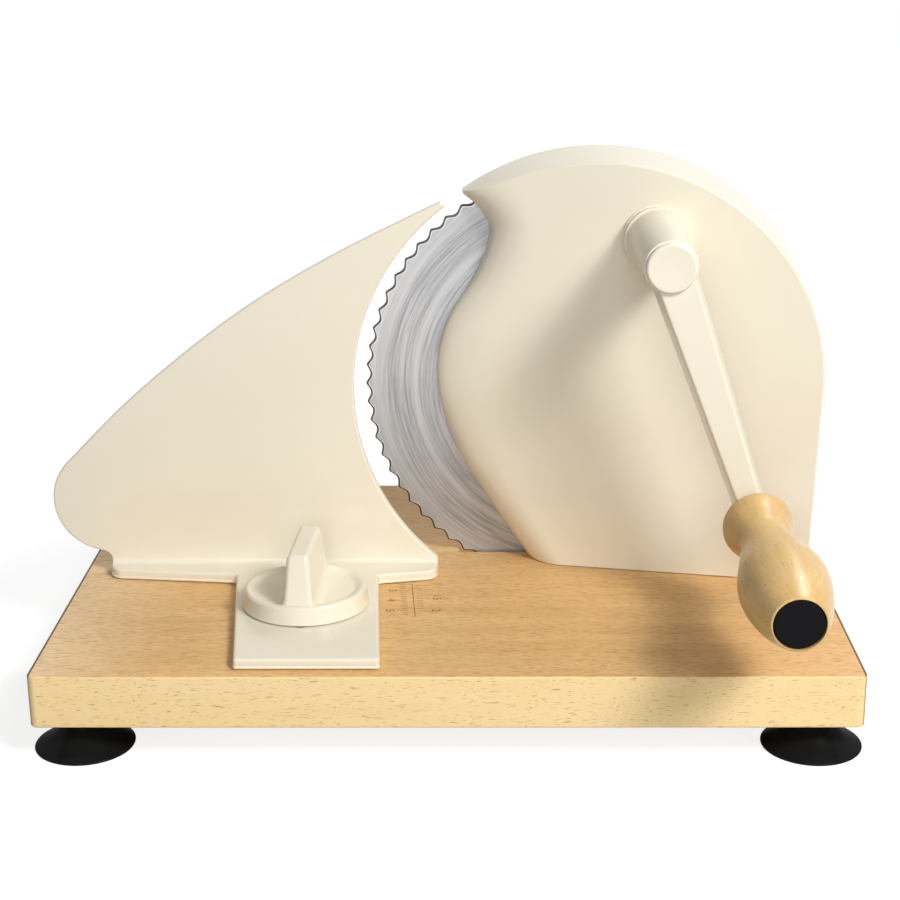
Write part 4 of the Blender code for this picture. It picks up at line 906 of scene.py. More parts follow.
def piece(name: str, bm: Mesh, body: Body, finishes: Sequence[Finish],
          replaces: Sequence[str] = (), smooth: float = 32.0) -> bpy.types.Object:
    """Dress a mesh as a piece of the object.

    Args:
        name: Piece name.
        bm: Its mesh, which is used up.
        body: What it rides on.
        finishes: Its finishes, in the order of its faces' material numbers.
        replaces: CAD nodes that it stands for.
        smooth: Edges sharper than this many degrees stay sharp.

    Returns:
        The finished object.
    """
    item = stand_in(bm, [finish.material() for finish in finishes])
    item.name = name
    item.data.name = name
    item.data.shade_smooth()
    item.data.set_sharp_from_angle(angle=math.radians(smooth))
    weighted = item.modifiers.new("Even shading", "WEIGHTED_NORMAL")
    weighted.keep_sharp = True
    weighted.weight = 100
    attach(item, body.value)
    if replaces:
        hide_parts(*replaces)
    LOG.info("%s: %d faces on %s", name, len(item.data.polygons), body.value)
    return item


def dress(finish: Finish, *nodes: str) -> None:
    """Give CAD nodes that stay in view their finish.

    Args:
        finish: The finish.
        *nodes: Names of the nodes.
    """
    for node in nodes:
        item = frame["nodes"][node]
        item.data.materials.clear()
        item.data.materials.append(finish.material())
        LOG.info("%s: CAD node in %s", node, finish.name)


@dataclass
class Board:
    """Beech board with its blade slot and screw holes."""

    corner: float = 0.0030
    corner_steps: int = 8
    arris: float = 0.0007
    # Painted shade: width of the dark line painted along the top's left and right ends.
    shade_line_width: float = 0.0004
    blade_room: float = 0.0012
    screw_recess: Point = (0.0030, 0.0023)
    insert_recess: Point = (0.0018, 0.0050)

    def build(self) -> None:
        """Make the board and dress what is set into it."""
        bm = self.plank()
        blade_low, blade_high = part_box("blade")
        slot = rod(radius_of("blade") + self.blade_room, blade_low.y - self.blade_room,
                   blade_high.y + self.blade_room, FINE_SIDES)
        bm = cut(bm, on_axis(slot, BLADE_AXIS))
        recesses = {screw: self.screw_recess for screw in SCREWS}
        for node, (depth, shank) in (recesses | {"clamp_insert": self.insert_recess}).items():
            head = rod(radius_of(node) + SEAT, -FAR, depth)
            bm = cut(bm, stood(head, middle(node)), stood(rod(shank, -FAR, FAR), middle(node)))
        # Painted shade: the top is cut near both ends, so that a dark line can be painted there as
        # the shade of the end edges.
        shade_line_from = BOARD_HIGH.x - self.arris - self.shade_line_width
        for x in (-shade_line_from, shade_line_from):
            bmesh.ops.bisect_plane(bm, geom=bm.verts[:] + bm.edges[:] + bm.faces[:],
                                   plane_co=(x, 0, 0), plane_no=(1, 0, 0))
        self.paint(bm, shade_line_from)
        piece("beech_board", bm, Body.BASE, (BEECH_TOP, BEECH_EDGE, BEECH_END, PAINTED_EDGE_SHADE),
              ["board"])
        dress(ZINC, *("foot_stud_" + place for place in CORNERS), *SCREWS)
        dress(BRASS, "clamp_insert")

    def plank(self) -> Mesh:
        """Plank with round corners and arrises.

        Returns:
            The plain board, without its holes.
        """
        bm = bmesh.new()
        bmesh.ops.create_cube(bm, size=1.0)
        size = BOARD_HIGH - BOARD_LOW
        bmesh.ops.scale(bm, vec=size, verts=bm.verts)
        shifted(bm, *middle("board"))
        standing = [e for e in bm.edges if abs(e.verts[0].co.z - e.verts[1].co.z) > size.z / 2]
        return soften(bevelled(bm, standing, self.corner, self.corner_steps), self.arris,
                      least_angle=60.0)

    @staticmethod
    def paint(bm: Mesh, shade_line_from: float) -> None:
        """Number the faces by finish: 0 top, 1 long side, 2 end grain, 3 painted shade line.

        Args:
            bm: The board.
            shade_line_from: Distance along X from which the top is painted with the line of shade.
        """
        for face in bm.faces:
            normal = face.normal
            if abs(face.calc_center_median().x) > shade_line_from and normal.z > 0.5:
                face.material_index = 3
            elif abs(normal.x) > 0.30 and abs(normal.x) > abs(normal.y):
                face.material_index = 2
            elif abs(normal.y) > 0.75:
                face.material_index = 1


@dataclass(frozen=True)
class ScaleSide:
    """Strokes and figures on one side of the printed scale's centre line."""

    step: float
    first: int
    last: int
    gap: float
    long_stroke: float
    short_stroke: float
    figures_x: float
    figures: dict[str, float]


CENTIMETRES = ScaleSide(step=0.0100 / 5, first=12, last=27, gap=-0.0026, long_stroke=-0.0040,
                        short_stroke=-0.0022, figures_x=-0.0220,
                        figures={"3": 0.0787, "4": 0.0686, "5": 0.0587})
INCHES = ScaleSide(step=0.0254 / 10, first=10, last=20, gap=0.0012, long_stroke=0.0052,
                   short_stroke=0.0026, figures_x=-0.0046,
                   figures={"1": 0.0851, "1.5": 0.0717, "2": 0.0586})


@dataclass
class PrintedScale:
    """Centimetres to the left of a centre line and inches to its right."""

    rise: float = 0.00003
    line_width: float = 0.00028
    figure_size: float = 0.0046
    zero: float = 0.1087
    back: Point = (-0.0146, 0.0852)
    front: Point = (-0.0122, 0.0534)
    strokes_per_figure: int = 5

    def build(self) -> None:
        """Print the lines, then the figures."""
        bm = bmesh.new()
        self.stroke(bm, self.along(self.back[1]), self.along(self.front[1]))
        for side in (CENTIMETRES, INCHES):
            for count in range(side.first, side.last + 1):
                start = self.along(self.zero - count * side.step) + Vector((side.gap, 0, 0))
                is_long = count % self.strokes_per_figure == 0
                reach = side.long_stroke if is_long else side.short_stroke
                self.stroke(bm, start, start + Vector((reach, 0, 0)))
        for side in (CENTIMETRES, INCHES):
            for text, distance in side.figures.items():
                self.figure(bm, text, Vector((side.figures_x, setback(distance), 0.0)))
        item = piece("printed_scale", shifted(bm, z=BOARD_HIGH.z + self.rise), Body.BASE, (INK,))
        for polygon in item.data.polygons:
            if polygon.normal.z < 0:
                polygon.flip()

    def along(self, distance: float) -> Vector:
        """Point of the centre line.

        Args:
            distance: Its setback.

        Returns:
            The point, at height zero.
        """
        share = (self.back[1] - distance) / (self.back[1] - self.front[1])
        x = self.back[0] + (self.front[0] - self.back[0]) * share
        return Vector((x, setback(distance), 0.0))

    def stroke(self, bm: Mesh, start: Vector, end: Vector) -> None:
        """Add one printed line.

        Args:
            bm: Mesh of the scale.
            start: Where the line starts.
            end: Where it ends.
        """
        run = (end - start).normalized() * self.line_width / 2
        side = Vector((-run.y, run.x, 0.0))
        corners = [start + side, start - side, end - side, end + side]
        bm.faces.new([bm.verts.new(corner) for corner in corners])

    def figure(self, bm: Mesh, text: str, place: Vector) -> None:
        """Add a printed figure, turned to be read from the right.

        Args:
            bm: Mesh of the scale.
            text: Plain figure.
            place: Its middle.
        """
        curve = bpy.data.curves.new("figure", "FONT")
        curve.body = text
        curve.size = self.figure_size
        curve.align_x = "CENTER"
        curve.align_y = "CENTER"
        item = bpy.data.objects.new("figure", curve)
        bpy.context.scene.collection.objects.link(item)
        bpy.context.view_layer.update()
        depsgraph = bpy.context.evaluated_depsgraph_get()
        mesh = bpy.data.meshes.new_from_object(item.evaluated_get(depsgraph))
        mesh.transform(Matrix.Translation(place) @ Matrix.Rotation(-QUARTER, 4, "Z"))
        bm.from_mesh(mesh)
        bpy.data.objects.remove(item, do_unlink=True)
        bpy.data.meshes.remove(mesh)


@dataclass
class SuctionFeet:
    """Four rubber cups under the board."""

    radius: float = 0.0178
    height: float = 0.0136
    stem: float = 0.0068
    cup_depth: float = 0.0045
    rim: float = 0.0010
    land: float = 0.0034
    stud_hole: float = 0.0023

    def build(self) -> None:
        """Make each cup at its CAD place."""
        for place in CORNERS:
            node = "foot_" + place
            cup = stood(revolve(self.profile(), FINE_SIDES), middle(node))
            piece("suction_cup_" + place, cup, Body.BASE, (RUBBER,), [node])

    def profile(self) -> list[Point]:
        """Section of a cup.

        Returns:
            Points from the middle of its hollow round the rim to the hole in its stem.
        """
        ground = -self.height
        hollow = smooth_curve([(0, ground + self.cup_depth),
                               (self.radius * 0.45, ground + self.cup_depth * 0.8),
                               (self.radius - self.land * 0.9, ground + self.rim * 0.6),
                               (self.radius - self.land, ground)], 8)
        lip = arc((self.radius - self.rim / 2, ground + self.rim / 2), self.rim / 2, -QUARTER,
                  QUARTER, 8)
        outer = smooth_curve([(self.radius * 0.93, ground + self.rim * 1.5),
                              (self.radius * 0.66, ground + self.height * 0.34),
                              (self.stem * 1.12, ground + self.height * 0.66),
                              (self.stem, ground + self.height * 0.82)], 10)
        top = arc((self.stem - self.rim / 2, -SEAT - self.rim / 2), self.rim / 2, 0, QUARTER, 5)
        floor = ground + self.cup_depth * 1.5
        return [*hollow, *lip, *outer, *top, (self.stud_hole, -SEAT), (self.stud_hole, floor),
                (0, floor)]


@dataclass
class Housing:
    """Cast shell: a face turned a little in plan, a rounded crown and an S edge by the blade."""

    wall: float = 0.0026
    base_wall: float = 0.0032
    face_wall_share: float = 0.6
    density: int = 4
    counts: tuple[int, int, int, int] = (30, 32, 3, 6)
    rim_setback: float = 0.1246
    rim_centre: Point = (0.0573, 0.0738)
    rim_radius: float = 0.09045
    rim_foot_x: float = 0.1458
    s_edge: tuple[Point, ...] = (
        (0.0310, SEAT), (0.0165, 0.0220), (0.0027, 0.0456), (-0.0046, 0.0720), (-0.0012, 0.0953),
        (0.0114, 0.1168), (0.0161, 0.1318), (0.0139, 0.1391), (0.0096, 0.1438), (0.0062, 0.1464))
    beak_angle: float = math.radians(125.0)
    face_centre: Point = (0.0597, 0.0793)
    face_radius: float = 0.0816
    face_foot_x: float = 0.1384
    ridge: tuple[Point, ...] = (
        (0.0450, SEAT), (0.0310, 0.0230), (0.0200, 0.0450), (0.0155, 0.0700), (0.0185, 0.0960),
        (0.0285, 0.1160), (0.0325, 0.1310), (0.0300, 0.1420))
    ridge_angle: float = math.radians(116.5)
    face_setback: float = 0.1129
    face_slope: float = 0.196
    fillet: float = 0.0010
    foot_fillet: float = 0.0002
    lip: float = 0.0017
    beak_share: float = 5 / 32
    land: float = 0.001
    pad_radius: float = 0.0128
    pad_setback: float = 0.0943
    pad_edge: float = 0.0003
    pad_fillet: float = 0.0004
    pad_root: float = 0.0045
    bush_radius: float = 0.0062
    flange_radius: float = 0.0093
    flange_depth: float = 0.0012
    blade_room: float = 0.0012
    axle_boss: float = 0.0095
    crank_boss: float = 0.0100
    post: float = 0.0042
    post_height: float = 0.0140

    def build(self) -> None:
        """Make the shell, its pad and its bores."""
        back = setback(self.rim_setback)
        blade_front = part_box("blade")[0].y
        body = fused(self.shell(0.0, 0.0, back, self.density), self.pad())
        axle_boss = rod(self.axle_boss, FRONT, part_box("blade_gear")[0].y - SEAT)
        crank_boss = rod(self.crank_boss, FRONT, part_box("drive_pinion")[0].y - SEAT)
        posts = [stood(rod(self.post, 0.0, lift(self.post_height)), middle(screw))
                 for screw in SCREWS]
        hollow = cut(self.shell(self.wall, self.base_wall, back + OVERSHOOT, 1),
                     on_axis(axle_boss, BLADE_AXIS), on_axis(crank_boss, CRANK_AXIS), *posts)
        disc = rod(radius_of("blade") + self.blade_room, blade_front - SEAT, back + OVERSHOOT,
                   FINE_SIDES)
        bush = rod(self.bush_radius, FRONT, blade_front)
        recess = rod(self.flange_radius, FRONT, setback(self.pad_setback) + self.flange_depth)
        body = cut(body, hollow, on_axis(disc, BLADE_AXIS), on_axis(bush, CRANK_AXIS),
                   on_axis(recess, CRANK_AXIS))
        piece("enamelled_housing", body, Body.BASE, (ENAMEL,), ["housing"], smooth=38.0)
        dress(BRASS, "crank_bush")
        dress(ZINC, "blade_axle")

    def face_y(self, x: float) -> float:
        """World Y of the main face."""
        return setback(self.face_setback - self.face_slope * x)

    def outlines(self, density: int) -> list[list[Point]]:
        """Back and front outlines, point beside point.

        Args:
            density: How many times finer than the plain solid.

        Returns:
            Rim points and face points, each along the S edge, the crown, the side and the foot.
        """
        joined = []
        for left, centre, radius, start, foot_x in (
                (self.s_edge, self.rim_centre, self.rim_radius, self.beak_angle, self.rim_foot_x),
                (self.ridge, self.face_centre, self.face_radius, self.ridge_angle,
                 self.face_foot_x)):
            crown = arc(centre, radius, start, 0, 40 * density)
            left = smooth_curve([*left, crown[0]], 16)
            foot = (foot_x, SEAT)
            paths = (left, crown, [crown[-1], foot], [foot, left[0]])
            joined.append([point for path, count in zip(paths, self.counts)
                           for point in evenly(path, count * density)])
        return joined

    def shell(self, wall: float, base_wall: float, back: float, density: int) -> Mesh:
        """Solid inside the skin, moved inwards by the wall for the hollow.

        Args:
            wall: Wall thickness, or 0 for the outside.
            base_wall: Thickness over the board.
            back: Y of the open back.
            density: How many times finer than the plain solid.

        Returns:
            The closed solid.
        """
        rim, face = self.outlines(density)
        s_count, crown_count, _, base_count = (count * density for count in self.counts)
        if wall:
            rim, face = ([(x, max(z, SEAT + base_wall)) for x, z in inset(path, depth)]
                         for path, depth in ((rim, wall), (face, wall * self.face_wall_share)))
        centre = (sum(x for x, _ in face) / len(face), sum(z for _, z in face) / len(face))
        lip_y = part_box("blade")[0].y - SEAT - self.lip + wall
        wall_start = setback(self.rim_setback) - self.land
        fillets = ([self.fillet] * (len(face) - base_count + 1)
                   + [self.foot_fillet] * (base_count - 1))
        blends = [min(max((i - s_count) / (self.beak_share * crown_count), 0), 1)
                  for i in range(len(face))]
        rings = [[(x, back, lift(z)) for x, z in rim]]
        steps = 6 * density
        for step in range(steps + 1):
            sweep = 1 - math.cos(QUARTER * step / steps)
            rise = math.sin(QUARTER * step / steps)
            ring = []
            for (rx, rz), (fx, fz), fillet, blend in zip(rim, face, fillets, blends):
                share = sweep + (rise - sweep) * blend
                x = rx + (fx - rx) * share
                swept_y = self.face_y(x) + wall + (lip_y - self.face_y(rx) - wall) * (1 - rise)
                wall_y = wall_start + (self.face_y(fx) + wall + fillet - wall_start) * rise
                ring.append((x, swept_y + (wall_y - swept_y) * blend, lift(rz + (fz - rz) * share)))
            rings.append(ring)
        turns = 1 + density
        for turn in range(1, turns + 1):
            inwards = 1 - math.cos(QUARTER * turn / turns)
            depth = 1 - math.sin(QUARTER * turn / turns)
            ring = []
            for (fx, fz), fillet, blend in zip(face, fillets, blends):
                share = fillet * inwards / math.hypot(centre[0] - fx, centre[1] - fz)
                x = fx + (centre[0] - fx) * share
                y = self.face_y(x) + wall + fillet * depth * blend
                ring.append((x, y, lift(fz + (centre[1] - fz) * share)))
            rings.append(ring)
        return skin(rings)

    def pad(self) -> Mesh:
        """Raised round pad with a rounded rim and a small fillet at its foot.

        Returns:
            The pad in its place.
        """
        front = setback(self.pad_setback)
        foot = self.face_y(CRANK_AXIS.x)
        outer = self.pad_radius + self.pad_fillet
        edge = arc((self.pad_radius - self.pad_edge, front + self.pad_edge), self.pad_edge,
                   -QUARTER, 0, 6)
        flare = arc((outer, foot - self.pad_fillet), self.pad_fillet, math.pi, QUARTER, 8)
        root = foot + self.pad_root
        profile = [(0, front), *edge, *flare, (outer, root), (0, root)]
        return on_axis(revolve(profile, FINE_SIDES), CRANK_AXIS)


@dataclass
class BladeSet:
    """Toothed disc with its screw, washer, rivets and gear."""

    teeth: int = 70
    points: int = 14
    scallop: float = 0.0017
    tip_power: float = 1.35
    bevel: float = 0.0009
    # Painted highlight: width and step of the thin band that is painted bright inside the bevel.
    glint_band: float = 0.0003
    glint_band_step: float = 0.00002
    edge_thick: float = 0.0004
    cone: float = 0.0003
    bore: float = 0.0067
    washer_bore: float = 0.0029
    screw_shank: float = 0.0025
    screw_head: float = 0.0022
    screw_soft: float = 0.0003
    groove_half: float = 0.0008
    groove_reach: float = 0.02
    groove_depth: float = 0.0011
    rivet_shank: float = 0.0020
    rivet_head: float = 0.0008
    rivet_sides: int = 48

    def build(self) -> None:
        """Make the disc and what holds it."""
        self.disc()
        self.washer()
        self.screw()
        for number in (1, 2, 3):
            self.rivet(number)
        dress(NYLON, "blade_gear")
        dress(BRASS, "blade_bush")

    def dip(self, index: int) -> float:
        """Depth of the edge below the tooth tips at one of its points."""
        share = (index % self.points) / self.points
        return self.scallop * math.sin(math.pi * share) ** self.tip_power

    def disc(self) -> None:
        """Scalloped edge, ground bevel painted dark as shade, a thin band inside it painted bright
        as a glint, a faintly coned face and a flat back.
        """
        low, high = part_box("blade")
        outer = radius_of("blade")
        count = self.teeth * self.points
        tips = [outer - self.dip(index) for index in range(count)]
        ground = [radius - self.bevel for radius in tips]
        front = low.y + self.cone
        bands = [(tips, high.y), (tips, high.y - self.edge_thick), (ground, front),
                 ([radius - self.glint_band for radius in ground], front + self.glint_band_step)]
        bands += [([outer * share] * count, low.y + self.cone * share)
                  for share in (0.93, 0.8, 0.6, 0.4, 0.15)]
        bands += [([self.bore] * count, y) for y in (low.y, high.y)]
        turn = [math.tau * index / count for index in range(count)]
        bm = bmesh.new()
        loops = [hoop(bm, [(r * math.cos(a), y, r * math.sin(a)) for r, a in zip(radii, turn)])
                 for radii, y in bands]
        # Painted light: finish 1 paints the edge face and bevel dark as shade, and finish 2 paints
        # a thin band bright as a glint.
        finishes = [1, 1, 2] + [0] * (len(loops) - 3)
        for first, second, finish in zip(loops, loops[1:] + loops[:1], finishes):
            for face in bmesh.ops.bridge_loops(bm, edges=first + second)["faces"]:
                face.material_index = finish
        bmesh.ops.recalc_face_normals(bm, faces=bm.faces)
        piece("toothed_blade", on_axis(bm, BLADE_AXIS), Body.CUTTER,
              (BLADE_STEEL, SHADED_BLADE_EDGE, PAINTED_EDGE_GLINT), ["blade"], smooth=20.0)

    def washer(self) -> None:
        """Large washer with softened rims."""
        low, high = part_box("blade_washer")
        radius = radius_of("blade_washer")
        soft = (high.y - low.y) / 4
        profile = [(self.washer_bore, low.y), (radius - soft, low.y), (radius, low.y + soft),
                   (radius, high.y - soft), (radius - soft, high.y), (self.washer_bore, high.y)]
        piece("retaining_washer", on_axis(revolve(profile, FINE_SIDES, closed=True), BLADE_AXIS),
              Body.BASE, (ZINC_TURNED,), ["blade_washer"])

    def screw(self) -> None:
        """Domed head with a slot, on its shank."""
        low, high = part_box("blade_screw")
        radius, shank, soft = radius_of("blade_screw"), self.screw_shank, self.screw_soft
        start = high.y - self.screw_head
        dome = [(radius * math.sin(a), start + self.screw_head * (0.35 + 0.65 * math.cos(a)))
                for a in (QUARTER * step / 12 for step in range(12, -1, -1))]
        bm = revolve([(0, low.y), (shank - soft, low.y), (shank, low.y + soft), (shank, start),
                      (radius - soft, start), (radius, start + soft), *dome], FINE_SIDES)
        half, reach = self.groove_half, self.groove_reach
        groove = slab([(-reach, -half), (reach, -half), (reach, half), (-reach, half)], "Y",
                      high.y - self.groove_depth, high.y + OVERSHOOT)
        piece("retaining_screw", on_axis(cut(bm, groove), BLADE_AXIS), Body.BASE, (ZINC_TURNED,),
              ["blade_screw"])

    def rivet(self, number: int) -> None:
        """Rivet with two domed heads.

        Args:
            number: Which of the three.
        """
        node = f"blade_rivet_{number}"
        low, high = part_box(node)
        height = self.rivet_head
        front, back = low.y + height, high.y - height
        profile = [(radius_of(node) * x, front + height * y)
                   for x, y in arc((0, 0), 1.0, -QUARTER, 0, 8)]
        profile += [(self.rivet_shank, front), (self.rivet_shank, back)]
        profile += [(radius_of(node) * x, back + height * y)
                    for x, y in arc((0, 0), 1.0, 0, QUARTER, 8)]
        piece(f"domed_rivet_{number}", on_axis(revolve(profile, self.rivet_sides), middle(node)),
              Body.CUTTER, (ZINC_TURNED,), [node])


@dataclass
class Crank:
    """Cast arm with its long hub, on a steel shaft with a pinion."""

    radius: float = 0.099
    rest: float = math.radians(19.5)
    front_setback: float = 0.0442
    back_setback: float = 0.0940
    hub_back: float = 0.0121
    hub_front: float = 0.0096
    hub_soft: float = 0.0006
    back_soft: float = 0.0005
    cap_radius: float = 0.0089
    cap_rise: float = 0.0018
    cap_edge: float = 0.0011
    cap_dish: float = 0.0003
    arm_thick: float = 0.0100
    hub_half: float = 0.0085
    end_half: float = 0.0056
    draft: float = 0.0014
    edge: float = 0.0012
    boss_radius: float = 0.0085
    boss_rise: float = 0.0006

    def build(self) -> None:
        """Make the arm and dress the steel that it carries."""
        front = setback(self.front_setback) + self.cap_rise
        back = front + self.arm_thick
        bm = fused(self.hub(), self.bar(front, back),
                   shifted(self.boss(front, back), z=-self.radius))
        shaft_low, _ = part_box("crank_shaft")
        shaft = rod(radius_of("crank_shaft") + SEAT, shaft_low.y - SEAT, FAR)
        pin = rod(radius_of("grip_spindle") + SEAT, front - OVERSHOOT, back + OVERSHOOT)
        bm = rotated(cut(bm, shaft, shifted(pin, z=-self.radius)), -self.rest, "Y")
        piece("cranked_arm", on_axis(bm, CRANK_AXIS), Body.CRANK, (ENAMEL,), ["crank_arm"],
              smooth=40.0)
        dress(ZINC, "crank_shaft", "drive_pinion", "grip_spindle", "grip_washer", "grip_nut")

    def ring(self, less: float, y: float) -> list[Triple]:
        """Outline round the bar, which narrows along -Z from the hub to the boss.

        Args:
            less: How much narrower than the bar's widest section on each side.
            y: Where the outline lies.

        Returns:
            Its points.
        """
        lean = math.asin((self.hub_half - self.end_half) / self.radius)
        upper = arc((0, 0), self.hub_half - less, math.pi + lean, -lean, 36)
        lower = arc((0, -self.radius), self.end_half - less, -lean, -math.pi + lean, 28)
        return [(x, y, z) for x, z in upper + lower]

    def bar(self, front: float, back: float) -> Mesh:
        """Tapered bar with draft and a round front edge.

        Args:
            front: Y of its front.
            back: Y of its back.

        Returns:
            The bar, hanging from the hub's axis.
        """
        soft = self.edge * 0.4
        rings = [self.ring(soft, back), self.ring(0.0, back - soft)]
        for x, y in arc((self.draft + self.edge, front + self.edge), self.edge, math.pi,
                        3 * QUARTER, 6):
            rings.append(self.ring(x, y))
        return skin(rings)

    def hub(self) -> Mesh:
        """Tapered hub whose front disc has a round edge and a shallow dish.

        Returns:
            The hub round the Y axis.
        """
        front, back = setback(self.front_setback), setback(self.back_setback)
        edge = arc((self.cap_radius - self.cap_edge, front + self.cap_edge), self.cap_edge,
                   -QUARTER, 0, 8)
        dish = [(self.cap_radius * share, front + self.cap_dish * (1 - share / 0.8) ** 0.5)
                for share in (0.0, 0.2, 0.4, 0.55, 0.66, 0.74)]
        shoulder = arc((self.hub_front - self.hub_soft, front + self.cap_rise + 2 * self.hub_soft),
                       self.hub_soft, -QUARTER, 0, 4)
        soft = self.back_soft
        profile = [*dish, *edge, (self.cap_radius, front + self.cap_rise), *shoulder,
                   (self.hub_back - soft * 0.4, back - soft), (self.hub_back - soft, back),
                   (0, back)]
        return revolve(profile, FINE_SIDES)

    def boss(self, front: float, back: float) -> Mesh:
        """Round end that takes the grip's spindle.

        Args:
            front: Y of the bar's front.
            back: Y of the bar's back.

        Returns:
            The round end, round the Y axis.
        """
        edge = arc((self.boss_radius - self.edge, front + RUNNING + self.edge), self.edge,
                   -QUARTER, 0, 5)
        rise = self.boss_rise
        return revolve([(0, front + RUNNING), *edge, (self.boss_radius, back),
                        (self.boss_radius - rise, back + rise), (0, back + rise)], SMALL_SIDES)


@dataclass
class Grip:
    """Turned wooden grip with a black plug in its end."""

    back_radius: float = 0.0088
    bead: Point = (0.0126, 0.0045)
    neck: Point = (0.0088, 0.0225)
    belly: Point = (0.0151, 0.0600)
    end_radius: float = 0.0093
    swell: float = 0.0010
    end_round: float = 0.0005
    spindle_hole: float = 0.0037
    plug_edge: float = 0.0006
    plug_dish: float = 0.0002

    def build(self) -> None:
        """Make the wood and the plug."""
        piece("turned_grip", on_axis(self.wood(), GRIP_AXIS), Body.HANDLE, (TURNED_WOOD,),
              ["grip"], smooth=40.0)
        piece("end_plug", on_axis(self.plug(), GRIP_AXIS), Body.HANDLE, (BLACK_CAP,), ["grip_cap"])

    def wood(self) -> Mesh:
        """Bead, neck and belly round the spindle's hole and the nut's well.

        Returns:
            The wood round the Y axis.
        """
        low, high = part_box("grip")
        length = high.y - low.y
        neck, belly, swell = self.neck, self.belly, self.swell
        stations = [(self.back_radius, 0.0), (self.bead[0] * 0.95, self.bead[1] * 0.40), self.bead,
                    (neck[0] + swell, neck[1] * 0.66), neck,
                    ((neck[0] + belly[0]) / 2, (neck[1] + belly[1]) / 2 - swell), belly,
                    ((belly[0] + self.end_radius) / 2 + swell, (belly[1] + length) / 2 + swell * 2),
                    (self.end_radius, length - self.end_round)]
        well = radius_of("grip_cap") + SEAT
        nut_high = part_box("grip_nut")[1].y + SEAT
        profile = [(radius, high.y - along) for radius, along in smooth_curve(stations, 10)]
        profile += [(self.end_radius - self.end_round * 0.4, low.y + self.end_round * 0.3),
                    (self.end_radius - self.end_round, low.y), (well, low.y), (well, nut_high),
                    (self.spindle_hole, nut_high), (self.spindle_hole, high.y)]
        return revolve(profile, FINE_SIDES, closed=True)

    def plug(self) -> Mesh:
        """Plug with a round edge and a faint dish.

        Returns:
            The plug round the Y axis.
        """
        low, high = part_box("grip_cap")
        radius, soft = radius_of("grip_cap"), self.plug_edge
        edge = arc((radius - soft, low.y + soft), soft, -QUARTER, 0, 5)
        return revolve([(0, low.y + self.plug_dish), (radius * 0.8, low.y + self.plug_dish / 2),
                        *edge, (radius, high.y), (0, high.y)], FINE_SIDES)


